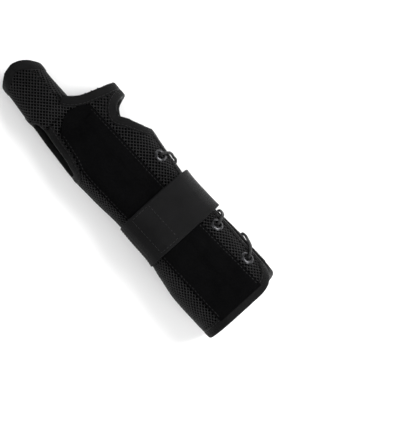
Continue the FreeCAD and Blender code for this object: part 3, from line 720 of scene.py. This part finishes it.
ULNAR_PLAN = plan([(-0.03, 5), (-0.02, 0.88), (0.01, 0.69), (0.15, 0.45), (0.29, 0.31), (0.50, 0.18),
                   (0.72, 0.06), (0.81, 0.06), (0.93, 0.20), (1.0, 0.52), (1.02, 5)],
                  (ULNAR_FROM, ULNAR_TO), (ULNAR_RIM, box_mm("ulnar_opening_binding")[1][1]))
SILL = 4.5  # from the side seam down to the sill of the opening at the little-finger edge
CORNER = 20.0  # reach of the cuff's rounded corners along the forearm
CORNER_Y = -18.0  # where the rounding starts on the cuff's edge
CUFF_EDGE = 1.5
CORNER_DEPTH = CORNER - CUFF_EDGE
CORNER_ENDS = [(s_at(CUFF_EDGE, CORNER_Y), laced_s(CORNER, 0)),
               (palm_s(CUFF_EDGE, CORNER_Y), laced_s(CORNER, 1))]


def signed(x, s):
    """s counted the shorter way from the middle of the back, negative on the thumb side."""
    return np.where(s > HAND.turn(x) / 2, s - HAND.turn(x), s)


def kept(x, s):
    """Whether the hand's cloth is there: outside every opening and rounded corner."""
    _, y, z = np.moveaxis(HAND.at(x, s, 0), -1, 0)
    middle = hand_top(x) - EDGE_DROP - GAP / 2
    gap = (y < -15) & (np.abs(z - middle) < GAP / 2) & (x < GAP_END)
    corner = np.zeros(np.shape(x), bool)
    for start, edge in CORNER_ENDS:
        share = (signed(x, s) - start) / (edge - start)
        near = (x < CORNER) & (share > 0) & (share < 1.3)
        corner |= near & (((CORNER - x) / CORNER_DEPTH) ** 2 + share ** 2 > 1)
    ulnar = inside(ULNAR_PLAN, x, y) & (z > seam(x) - SILL)
    cut = gap | corner | ulnar | inside(THUMB_PLAN, x, y) | inside(KNUCKLE_PLAN, x, y)
    return ~cut & (x > CUFF_EDGE - 0.3) & (x < JOIN)


SPLIT_X = np.arange(0, JOIN + 10, 10.0)
SPLIT_S = np.array([laced_s(x) if x < GAP_END else side_s(x, seam(x), False) for x in SPLIT_X])


def back_of(x, s):
    """Whether a place belongs to the dorsal panel: above the side seam, or above the laced gap."""
    _, y, z = np.moveaxis(HAND.at(x, s, 0), -1, 0)
    return np.where(y < 0, signed(x, s) > np.interp(x, SPLIT_X, SPLIT_S), z > seam(x))


def corner_curve(number):
    """A rounded cuff corner in (x, s), from the laced edge to the cuff's edge."""
    start, edge = CORNER_ENDS[number]
    turns = np.radians(np.linspace(90, 0, 10))
    return [(CORNER - CORNER_DEPTH * math.cos(t), start + (edge - start) * math.sin(t)) for t in turns]


# ---- Mesh panels ----

def hand_panel(name, back, node):
    """One panel of the hand: foam and lining under an open knitted mesh."""
    s_range, lap = ((-75, 75), 75) if back else ((35, 235), 40)

    def keep(x, s):
        return kept(x, s) & (back_of(x, s) == back) & (s < HAND.turn(x) - lap)

    def seen(x, s):
        return keep(x, s) & ~under_pile(x, s)

    dress(foam(name + "_foam", HAND, keep, (0, JOIN), s_range), "spacer_mesh", node)
    dress(lattice(name + "_knit", HAND, seen, (0, JOIN), s_range), "spacer_mesh")


PILE_LONG, PILE_WIDE = 230, 46  # size by which distances from the loop panel's edge are judged
PILE_RADIAL = [(0, 1.05), (0.23, 0.97), (0.53, 0.86), (0.97, 0.84)]
PILE_ULNAR = [(0, 0.87), (0.36, 0.93), (0.70, 1.0), (0.78, 0.98), (0.835, 0.84), (0.875, 0.78), (0.93, 0.715),
              (0.99, 0.67)]
PILE_END = [(-0.78, 8.8), (-0.44, 3.8), (-0.07, 0.2), (0.26, 1.4), (0.5, 4.8), (0.70, 9.8), (0.81, 12.8)]


def pile_edge(x, side):
    """s of the loop panel's side edges, by shares of its box."""
    places, reach = (PILE_RADIAL, loop_low[1]) if side < 0 else (PILE_ULNAR, loop_high[1])
    return reach * np.interp((x - loop_low[0]) / (loop_high[0] - loop_low[0]), *np.transpose(places))


def pile_end(y):
    """x where the loop panel ends, at the knuckle seam."""
    return loop_high[0] - np.interp(y / loop_high[1], *np.transpose(PILE_END))


def under_pile(x, s):
    """Whether a place is well under the loop panel."""
    between = (s > pile_edge(x, -1) + 3) & (s < pile_edge(x, 1) - 3)
    return between & (x > loop_low[0] + 4) & (x < pile_end(s) - 3)


def loop_panel():
    """The brushed loop panel on the back, with its sewn edge and the stay showing faintly through it."""
    edge = np.array([0, 0.25, 0.7, 1.4, 2.2])
    grid = []
    for size, count in ((PILE_LONG, 300), (PILE_WIDE, 72)):
        inner = np.linspace(3.2 / size, 1 - 3.2 / size, count)
        grid.append(np.concatenate([edge / size, inner, 1 - edge[::-1] / size]))
    grid_u, grid_v = np.meshgrid(*grid, indexing="ij")
    start = loop_low[0] - 2
    x = start + grid_u * (pile_end(-21 + grid_v * 43) - start)
    s = pile_edge(x, -1) + grid_v * (pile_edge(x, 1) - pile_edge(x, -1))
    from_side, from_end = np.minimum(grid_v, 1 - grid_v), np.minimum(grid_u, 1 - grid_u)
    from_edge = np.minimum(from_side * PILE_WIDE, from_end * PILE_LONG)
    ridge = 0.75 * np.exp(-((s - (-6.5 - 0.02 * x)) / 4.2) ** 4) * ((x > 12) & (x < 222))
    dip = -0.28 * np.exp(-((from_edge - 2.2) / 0.7) ** 2)
    height = 0.9 + 0.85 * np.clip(from_edge / 0.7, 0, 1) ** 0.5 + ridge + dip
    flat = np.stack([x.ravel(), s.ravel()], 1)
    sheet = mesh_object("loop_panel", HAND.at(*flat.T, height.ravel()), grid_quads(x.shape), flat, PILE)
    dress(solid(sheet, 1.0), "loop_pile", "dorsal_loop_panel")
    for side, name in ((-1, "radial"), (1, "ulnar")):
        xs = np.arange(loop_low[0] + 2, pile_end(-18 if side < 0 else 17) - 2, 1.0)
        sew(f"loop_stitching_{name}", xs, pile_edge(xs, side) - side * 2.2, 1.35, "loop_pile")


BACK_LAP = 1.0  # how far the finger sleeve's cloth keeps back from the little-finger opening's edge
SLEEVE_ROOT = 12.0  # how far the finger sleeve's back runs in under the loop panel
TIP_Y = [-11, -4, 2, 9, 18, 28, 34]
TIP_X = [END - 16, END - 7, END - 2.5, END - 0.3, END - 2, END - 9, END - 15]


def finger_kept(x, s):
    """Whether the finger sleeve's cloth is there."""
    _, y, z = np.moveaxis(FINGERS.at(x, s, 0), -1, 0)
    ulnar = np.zeros(np.shape(x), bool)
    for shift_x in (0, BACK_LAP):
        for shift_y in (0, BACK_LAP):
            ulnar |= inside(ULNAR_PLAN, x - shift_x, y + shift_y)
    ulnar &= z > seam(x) - SILL - BACK_LAP
    start = JOIN - SLEEVE_ROOT + 8 * (z < 20)
    along = (x < np.interp(y, TIP_Y, TIP_X)) & (x > start)
    return along & ~ulnar & (s >= -SLEEVE_ROOT) & (s < FINGERS.turn(x) - SLEEVE_ROOT)


def finger_panel(name, back, node):
    """Half of the ring and little finger sleeve: the dorsal one runs back under the loop panel."""
    def keep(x, s):
        return finger_kept(x, s) & ((FINGERS.at(x, s, 0)[..., 2] > finger_seam(x)) == back)

    x_range, s_range = (JOIN - SLEEVE_ROOT, END), (-26, 150)
    dress(foam(name + "_foam", FINGERS, keep, x_range, s_range, 1.3), "spacer_mesh", node)
    dress(lattice(name + "_knit", FINGERS, keep, x_range, s_range), "spacer_mesh")


def finger_seam(x):
    """Height of the finger sleeve's side seams."""
    return np.interp(x, [JOIN - 20, JOIN, END], [seam(JOIN - 20), seam(JOIN), (FLOOR + finger_top(END)) / 2])


# ---- Bindings ----

def binding(name, controls, node, width=TAPE_WIDTH, closed=False):
    """A sewn binding along an outline, with its row of stitches."""
    edge = curve_points(controls, closed, 0.8)
    dress(tape(name, HAND, edge, width, closed), "binding_tape", node)
    inset = edge - outward(edge, closed) * (width - 1.5)
    sew(name + "_stitching", *inset.T, 1.15, "binding_tape")


def cuff_binding():
    """The tape round the forearm end, running out round both corners of the laced edge."""
    dorsal = corner_curve(0)
    palm = [(x, s + HAND.turn(x)) for x, s in corner_curve(1)]
    round_cuff = [(CUFF_EDGE, s) for s in np.linspace(dorsal[-1][1] + 4, palm[-1][1] - 4, 40)]
    binding("cuff_tape", (dorsal + round_cuff + palm[::-1])[::-1], "cuff_binding", 8.0)


def smooth_line(points):
    """Points with the small steps of the table smoothed out."""
    points = np.asarray(points, float)
    return np.stack([points[:, 0], smooth(points[:, 1], 1.2)], 1)



def lace_edges():
    """The narrow tapes along both laced edges."""
    xs = np.linspace(CORNER - 2, THUMB_FROM + 1, 26)
    for name, share, order in (("dorsal", 0, 1), ("volar", 1, -1)):
        edge = smooth_line([(x, laced_s(x, share)) for x in xs])
        binding(name + "_lace_edge", edge[::order], name + "_lace_edge_binding", 5.0)


def round_side(rim, x_side, inset, count):
    """A rim's outline on the back, straight down the thumb side at x_side, and its outline on the palm."""
    back = [(x, s_at(x, y)) for x, y in rim]
    palm = [(x, palm_s(x, y)) for x, y in rim[::-1]]
    down = np.linspace(back[-1][1] - inset, palm_s(x_side, -0.9 * RADIAL) + inset, count)
    return back + [(x_side, s) for s in down] + palm


def thumb_binding():
    """The tape round the thumb opening, from the dorsal laced edge round the web to the palm's laced edge."""
    first, last = [(THUMB_FROM - 1.5, laced_s(THUMB_FROM, share)) for share in (0, 1)]
    edge = [first] + round_side(THUMB_PLAN[2:-1], THUMB_TO + 1.8, 5, 6) + [last]
    binding("thumb_tape", edge, "thumb_opening_binding", 7.5)


def knuckle_binding():
    """The tape round the exit of the index and middle fingers, from the back round to the palm."""
    rim = KNUCKLE_PLAN[:8]
    binding("knuckle_tape", round_side(rim, rim[-1][0] - 0.3, 4, 7)[::-1], "knuckle_binding")


def ulnar_binding():
    """The tape round the opening at the little-finger edge of the hand."""
    back = [(x, s_at(x, y)) for x, y in ULNAR_PLAN[2:-1]]
    sill = [(x, side_s(x, seam(x) - SILL, True)) for x in np.linspace(ULNAR_TO - 3, ULNAR_FROM + 2, 22)]
    binding("ulnar_tape", np.vstack([back, smooth_line(sill)])[::-1], "ulnar_opening_binding", 7.5, True)


def finger_binding():
    """The tape round the finger sleeve's mouth."""
    turn = FINGERS.turn(END - 4)
    dense = np.arange(0, turn, turn / 220)
    y = FINGERS.at(END - 4, dense, 0)[:, 1]
    x = np.interp(y, TIP_Y, TIP_X)
    for _ in range(3):
        x = (np.roll(x, 1) + np.roll(x, 2) + x + np.roll(x, -1) + np.roll(x, -2)) / 5
    bound = tape("finger_tape", FINGERS, np.stack([x, dense], 1), 8.0, True, wrap=turn)
    dress(bound, "binding_tape", "finger_sleeve_binding")


# ---- Strap ----

def strap_height(s, start):
    """Height of the strap's inner face over the cloth at s: over the lacing, then over the loop panel."""
    places = [start, start + 12, start + 22, -76, -46, -34, -26, -16, 0, 18, 24, 27, 40]
    heights = [0.6, 0.6, 2.6, 5.0, 5.3, 5.0, 3.9, 3.0, 2.9, 3.0, 3.6, 4.0, 4.1]
    return np.interp(s, places, heights)


def band(name, start, end, height, thickness, finish, ribs=0.0, weave_rib=0.0):
    """A flat band round the cloth with rounded selvedges; start and end give its ends in s at each x."""
    width = STRAP_TO - STRAP_FROM
    selvedge = np.array([0, 0.25, 0.8, 1.5, 2.2])
    across = np.concatenate([selvedge, np.linspace(3, width - 3, 46), width - selvedge[::-1]])
    x = STRAP_FROM + across
    first, last = [np.polyval(np.polyfit(x, [where(value) for value in x], 1), x) for where in (start, end)]
    edge = np.minimum(across, width - across)
    half = thickness / 2 * np.sqrt(np.clip(edge / 0.8, 0.12, 1)) + 0.12 * np.exp(-((edge - 1.2) / 0.8) ** 2)
    rib = ribs * np.sin(across * 2 * math.pi / 2.7) * (edge > 2)
    rings, uvs = [], []
    for share in np.linspace(0, 1, int(np.abs(last - first).max() / 0.9)):
        s = first + (last - first) * share
        middle = height(s) + thickness / 2
        cross = weave_rib * np.sin(s * 2 * math.pi / 1.8)
        ring, flat = flat_ring(x, s, middle + half + rib + cross, middle - half + rib * 0.5, (STRAP_FROM, 0))
        rings.append(ring)
        uvs += flat
    return sweep(name, rings, finish, uvs)


def strap():
    """The woven strap from its seam on the palm side, over the lacing to the tail on the back."""
    seam_s = palm_s(STRAP_MIDDLE, STRAP_SPLICE)
    obj = band("strap", lambda x: palm_s(x, STRAP_SPLICE), lambda x: tail_high[1] + 1.0,
               lambda s: strap_height(s, seam_s), 1.5, WEBBING, weave_rib=0.05)
    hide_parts("strap_woven_run", "strap_tail")
    centre = Vector([float(v) for v in HAND.at(STRAP_MIDDLE, STRAP_HINGE, 4.0) * MM])
    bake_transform(obj)


def elastic():
    """The ribbed elastic from the same seam, round the little-finger side, to under the tail."""
    end = palm_s(STRAP_MIDDLE, STRAP_SPLICE) + HAND.turn(STRAP_MIDDLE)

    def height(s):
        return np.interp(s, [25, 30, 36, 60, end - 20, end], [1.9, 1.7, 1.6, 1.4, 0.6, 0.6])

    obj = band("elastic", lambda x: 25.0, lambda x: palm_s(x, STRAP_SPLICE) + HAND.turn(x) + 0.3, height,
               1.3, ELASTIC, ribs=0.25)
    dress(obj, "ribbed_elastic", "strap_elastic_run")


TAB_BASE, TAB_BACK = 2.35, 2.85  # heights of the hook tab's hooked face and its sewn face over the cloth
TAB_CORNER = 4.0


def tab_rows(inset, step):
    """Rows across the hook tab, from its near end to its tip: s, and the row's ends in x."""
    low, high = box_mm("strap_hook_tab")
    rows = []
    for s in np.arange(low[1] + inset, high[1] - inset + step / 2, step):
        away = min(s - low[1], high[1] - s)
        corner = TAB_CORNER - math.sqrt(max(TAB_CORNER ** 2 - max(TAB_CORNER - away, 0) ** 2, 0))
        rows.append((s, low[0] + inset + corner, high[0] - inset - corner))
    return rows


def hook_tab():
    """The moulded hook tab under the strap's tail: its backing, its little hooks and its stitching."""
    rings, uvs = [], []
    for s, x_low, x_high in tab_rows(0.0, 0.5):
        x = np.linspace(x_low, x_high, 60)
        thin = 0.15 * np.exp(-np.minimum(x - x_low, x_high - x) / 0.3)
        ring, flat = flat_ring(x, s, TAB_BACK - thin, TAB_BASE + thin)
        rings.append(ring)
        uvs += flat
    backing = sweep("hook_backing", rings, HOOKS, uvs)
    dress(backing, "hook_tape", "strap_hook_tab", body="strap_tail_body")
    verts, faces = [], []
    foot = 0.2 * np.array([(-1, -1, 0), (1, -1, 0), (1, 1, 0), (-1, 1, 0)])
    for s, x_low, x_high in tab_rows(1.0, 1.5):
        for x in np.arange(x_low, x_high, 1.5):
            base, up = HAND.at(x, s, TAB_BASE), HAND.normal(x, s)
            add_stack(verts, faces, [base - up * 0.55 * share + (0, lean, 0) + foot * (1 - 0.4 * share)
                                     for share, lean in ((0.0, 0.0), (0.5, 0.05), (1.0, 0.25))])
    teeth = mesh_object("hook_teeth", verts, faces, None, HOOKS, closed=True, shade_smooth=False)
    dress(teeth, "hook_tape", body="strap_tail_body")
    s, near, far = np.transpose(tab_rows(1.8, 0.5))
    x = np.concatenate([near, far[::-1], near[:1]])
    s = np.concatenate([s, s[::-1], s[:1]])
    sew("tab_stitching", x, s, strap_height(s, -200.0) + 1.5, "strap_webbing", "strap_tail_body")


# ---- Stay pockets ----

STAY_CLEAR = 0.3
POCKET_LIP = 1.5  # flat sewn edge each side of a pocket's channel
POCKET_DEPTH = np.ptp(box_mm("palm_stay_pocket"), axis=0)[2]
BORE = np.ptp(box_mm("palm_stay"), axis=0)[2] / 2 + STAY_CLEAR  # half the channel's height
LIP_HEIGHT = 0.4 * POCKET_DEPTH


def mirrored(half, count=52):
    """A closed outline of count points, mirrored from corners (y, z) on its positive side."""
    half = np.array(half)
    corners = np.vstack([half, half[::-1] * (-1, 1), half[:1]])
    along = lengths(corners)
    return points_at(np.linspace(0, along[-1], count, endpoint=False), corners, along)


def stay_pocket(stay, fall, crown):
    """One stay's sewn channel: open and hemmed at the cuff, flat on the wall, crowned on the other side."""
    low, high = box_mm(stay + "_pocket")
    stay_low, stay_high = box_mm(stay)
    half = (high[1] - low[1]) / 2
    room = (stay_high[1] - stay_low[1]) / 2 + STAY_CLEAR
    length = (high[0] - low[0] - POCKET_DEPTH * math.sin(fall)) / math.cos(fall)
    corner = np.array([low[0], (low[1] + high[1]) / 2, high[2] - POCKET_DEPTH * math.cos(fall)])
    ahead = np.array([math.cos(fall), 0, -math.sin(fall)])
    up = np.array([math.sin(fall), 0, math.cos(fall)])
    outer = mirrored([(0, 0), (half - 0.6, 0), (half, 0.6), (half, 1.5), (half - 0.4, LIP_HEIGHT - 0.1),
                      (half - POCKET_LIP, LIP_HEIGHT), (half - 2.6, 0.91 * POCKET_DEPTH),
                      (half - 4, POCKET_DEPTH), (0, POCKET_DEPTH)])
    floor, roof = POCKET_DEPTH / 2 - BORE, POCKET_DEPTH / 2 + BORE
    inner = mirrored([(0, floor), (room - 0.5, floor), (room, floor + 0.5),
                      (room, roof - 0.5), (room - 0.5, roof), (0, roof)])
    rings, uvs = [], []

    def add(x, section):
        z = section[:, 1] if crown > 0 else POCKET_DEPTH - section[:, 1]
        rings.append(corner + x * ahead + np.outer(z, up) + np.outer(section[:, 0], (0, 1, 0)))
        uvs.extend(zip(np.full(len(section), x), np.arange(len(section)) * 0.9))

    for x in np.arange(length, -0.01, -1.0):
        raised = np.clip(outer[:, 1] - LIP_HEIGHT, 0, None)
        closing = min(1.0, (length - x) / 2.0)
        gathers = 0.03 * np.sin(x * 2 * math.pi / 3.7) * raised
        hem = 0.3 * (x < 6) * (raised > 0)
        add(x, outer + np.outer(raised * (closing - 1) + gathers * closing + hem, (0, 1)))
    for x in np.arange(0.0, length - 2.2, 2.0):
        add(x, inner)
    dress(sweep(stay + "_channel", rings, POCKET, uvs), "pocket_cloth", stay + "_pocket")
    xs = np.arange(0.5, length - 0.5, 1.0)
    level = LIP_HEIGHT if crown > 0 else POCKET_DEPTH - LIP_HEIGHT
    for number, side in enumerate((-1, 1)):
        line = corner + np.outer(xs, ahead) + level * up + np.array([0, side * (half - 0.8), 0])
        thread = stitches(f"{stay}_stitching_{number}", line, np.tile(up * crown, (len(xs), 1)))
        dress(thread, "pocket_cloth")


# ---- Eyelets and lace ----

EYELET_RISE = 20.0  # from the laced gap's middle to each row, along the cloth
FLANGE = 6.25
EYELET_COUNT = 4


def eyelet_xs(node):
    """x of each eyelet in a row, evenly spaced over the CAD row."""
    low, high = box_mm(node)
    return np.linspace(low[0] + FLANGE, high[0] - FLANGE, EYELET_COUNT)


DORSAL_EYELETS = eyelet_xs("dorsal_eyelets")
PALM_EYELETS = eyelet_xs("volar_eyelets")


def ring_profile(bore, outer, low, high):
    """Half section of a rolled eyelet: barrel, rolled lip and domed flange."""
    profile = [(bore, low), (bore, high - 0.9)]
    for angle in np.linspace(180, 90, 7)[1:]:
        t = math.radians(angle)
        profile.append((bore + 1.1 + 1.1 * math.cos(t), high - 0.9 + 0.9 * math.sin(t)))
    for share in np.linspace(0.25, 1, 6):
        profile.append((bore + 1.1 + (outer - bore - 1.5) * share, high - 0.75 * share ** 2))
    profile += [(outer, high - 1.05), (outer - 0.1, high - 1.3), (outer - 0.9, high - 1.25),
                (bore + 0.7, high - 1.3), (bore + 0.7, low)]
    return profile


def eyelet_row(name, xs, side, node, washer_node):
    """One panel's eyelets and the washers that clench them inside the wall."""
    washer = [(3.95, -3.1), (5.1, -3.1), (5.25, -3.3), (5.25, -3.6), (5.0, -3.85), (4.1, -3.85), (3.95, -3.6)]
    eyelet = ring_profile(3.2, FLANGE, -3.9, 1.75)
    for part, profile, replaced in (("", eyelet, node), ("_washers", washer, washer_node)):
        verts, faces = [], []
        for x in xs:
            s = laced_s(x) + side * EYELET_RISE
            made, quads = lathe(profile, HAND.at(x, s, 0.0), HAND.normal(x, s))
            faces += [tuple(v + len(verts) for v in quad) for quad in quads]
            verts += made
        turned = mesh_object(name + part, verts, faces, None, NICKEL, closed=True)
        dress(turned, "eyelet_metal", replaced)


def lace_stops():
    """The lace's way from eyelet to eyelet: out of one, across the gap, in at the other and back inside."""
    across = [(0, 20, -6.2), (0, 20, 0.5), (0, 19, 3.0), (0.17, 13.5, 3.7), (0.35, 6.5, 3.2),
              (0.65, -6.5, 3.2), (0.83, -13.5, 3.7), (1, -19, 3.0), (1, -20, 0.5), (1, -20, -6.2)]
    inside_wall = [(0.3, -6.5, -6.5), (0.7, 6.5, -6.5)]
    runs = []
    for back, palm, following in zip(DORSAL_EYELETS, PALM_EYELETS, DORSAL_EYELETS[1:]):
        runs += [(back, palm, across), (palm, following, inside_wall)]
    runs.append((DORSAL_EYELETS[-1], PALM_EYELETS[-1], across))
    stops = []
    for start, end, places in runs:
        for share, rise, out in places:
            x = start + (end - start) * share
            stops.append(HAND.at(x, laced_s(x) + rise, out))
    return np.array(stops)


def lace():
    """The braided lace and its two stopper knots inside the wall."""
    path = curve_points(lace_stops(), False, 0.45)
    dress(cord("lace", path, 1.25, 28), "lace_cord", "lace")
    t = np.linspace(0, 2 * math.pi, 140)
    loops = [np.sin(t) + 2 * np.sin(2 * t), np.cos(t) - 2 * np.cos(2 * t), -np.sin(3 * t)]
    for number, (end, following) in enumerate(((path[0], path[6]), (path[-1], path[-7]))):
        along = (end - following) / np.linalg.norm(end - following)
        side = np.cross(along, (1.0, 0.0, 0.0))
        side /= np.linalg.norm(side)
        other = np.cross(along, side)
        knot = end + along * 1.2 + 0.72 * np.transpose(loops) @ np.array([side, other, along])
        nodes = ["lace_stopper_knots"] if number == 0 else []
        dress(cord(f"knot_{number}", knot, 1.05, 16), "lace_cord", *nodes)


def seam_tape():
    """The tape over the little-finger side seam, from the cuff to the opening."""
    low, high = box_mm("ulnar_seam_tape")
    xs = np.arange(low[0], high[0] + 5, 1.0)
    centre = smooth(np.array([side_s(x, seam(x), True) for x in xs]), 4)
    across = np.array([-5, -4.8, -4.2, -3.2, -2, 0, 2, 3.2, 4.2, 4.8, 5])
    height = np.array([0.4, 1.0, 1.25, 1.05, 1.3, 1.35, 1.3, 1.05, 1.25, 1.0, 0.4])
    rings, uvs = [], []
    for x, s in zip(xs, centre):
        ribs = 0.12 * np.sin(across * 2 * math.pi / 1.4 + x * 2 * math.pi / 2.2)
        ring, flat = flat_ring(x, s + across, height + ribs, 0.2, (0, s))
        rings.append(ring)
        uvs += flat
    dress(sweep("seam_tape", rings, BINDING, uvs), "binding_tape", "ulnar_seam_tape")
    for side, name in ((-3.2, "near"), (3.2, "far")):
        sew(f"seam_stitching_{name}", xs, centre + side, 1.1, "binding_tape")


# ---- Floor, lights and camera ----

def plain(name, colour, roughness):
    """A plain studio finish."""
    made, _, _, settle = material(name)
    settle(Base_Color=(*colour, 1), Roughness=roughness)
    return made


def area_light(name, place, target, size, power):
    """A soft square light aimed at a place."""
    data = bpy.data.lights.new(name, "AREA")
    data.size = size
    data.energy = power
    obj = bpy.data.objects.new(name, data)
    obj.location = place
    obj.rotation_euler = (Vector(target) - Vector(place)).to_track_quat("-Z", "Y").to_euler()
    bpy.context.scene.collection.objects.link(obj)
    return obj


def studio():
    """A pale floor, soft lights and the camera looking straight down."""
    middle = (np.array(cad_low) + np.array(cad_high)) / 2
    floor_data = bpy.data.meshes.new("floor")
    reach = 6.0
    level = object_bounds()[0][2] - 0.0002
    floor_data.from_pydata([(-reach, -reach, level), (reach, -reach, level), (reach, reach, level),
                            (-reach, reach, level)], [], [(0, 1, 2, 3)])
    floor_data.materials.append(plain("floor", (0.92, 0.92, 0.92), 0.9))
    floor = bpy.data.objects.new("floor", floor_data)
    bpy.context.scene.collection.objects.link(floor)
    centre = (float(middle[0]), float(middle[1]), 0.03)
    lights = [
        area_light("key", (centre[0] - 0.25, centre[1] - 0.75, 0.85), centre, 0.7, 17),
        area_light("fill", (centre[0] + 0.6, centre[1] + 0.6, 1.1), centre, 1.2, 6),
        area_light("rim", (centre[0] - 0.8, centre[1] + 0.1, 0.6), centre, 0.5, 5),
    ]
    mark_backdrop(floor, *lights)
    world = bpy.data.worlds.new("studio")
    world.use_nodes = True
    world.node_tree.nodes["Background"].inputs["Color"].default_value = (1, 1, 1, 1)
    world.node_tree.nodes["Background"].inputs["Strength"].default_value = 0.5
    bpy.context.scene.world = world
    bpy.context.scene.view_settings.view_transform = "Standard"

    camera_data = bpy.data.cameras.new("camera")
    camera = bpy.data.objects.new("camera", camera_data)
    bpy.context.scene.collection.objects.link(camera)
    camera.location = (VIEW_X * MM, VIEW_Y * MM, CAMERA_HEIGHT)
    camera.rotation_euler = (0, 0, math.radians(CAMERA_TURN))
    camera_data.sensor_fit = "VERTICAL"
    camera_data.sensor_height = 24.0
    camera_data.lens = 24.0 * (CAMERA_HEIGHT - 0.04) / (VIEW_HEIGHT * MM)
    camera_data.clip_end = 30
    bpy.context.scene.camera = camera


# ---- Assembly ----

hand_panel("hand_back", True, "dorsal_mesh_panel")
hand_panel("hand_palm", False, "volar_mesh_panel")
finger_panel("finger_back", True, "finger_sleeve_dorsal")
finger_panel("finger_palm", False, "finger_sleeve_volar")
loop_panel()
cuff_binding()
lace_edges()
thumb_binding()
knuckle_binding()
ulnar_binding()
finger_binding()
eyelet_row("dorsal_eyelets_turned", DORSAL_EYELETS, 1, "dorsal_eyelets", "dorsal_eyelet_washers")
eyelet_row("volar_eyelets_turned", PALM_EYELETS, -1, "volar_eyelets", "volar_eyelet_washers")
lace()
strap()
elastic()
hook_tab()
seam_tape()
back_fall = math.atan2(hand_top(0) - hand_top(JOIN), JOIN)
for stay, fall, crown in (("dorsal_stay", back_fall, -1), ("palm_stay", 0.0, 1), ("finger_stay", 0.0, 1)):
    finish_node(stay, ALUMINIUM)
    stay_pocket(stay, fall, crown)
studio()
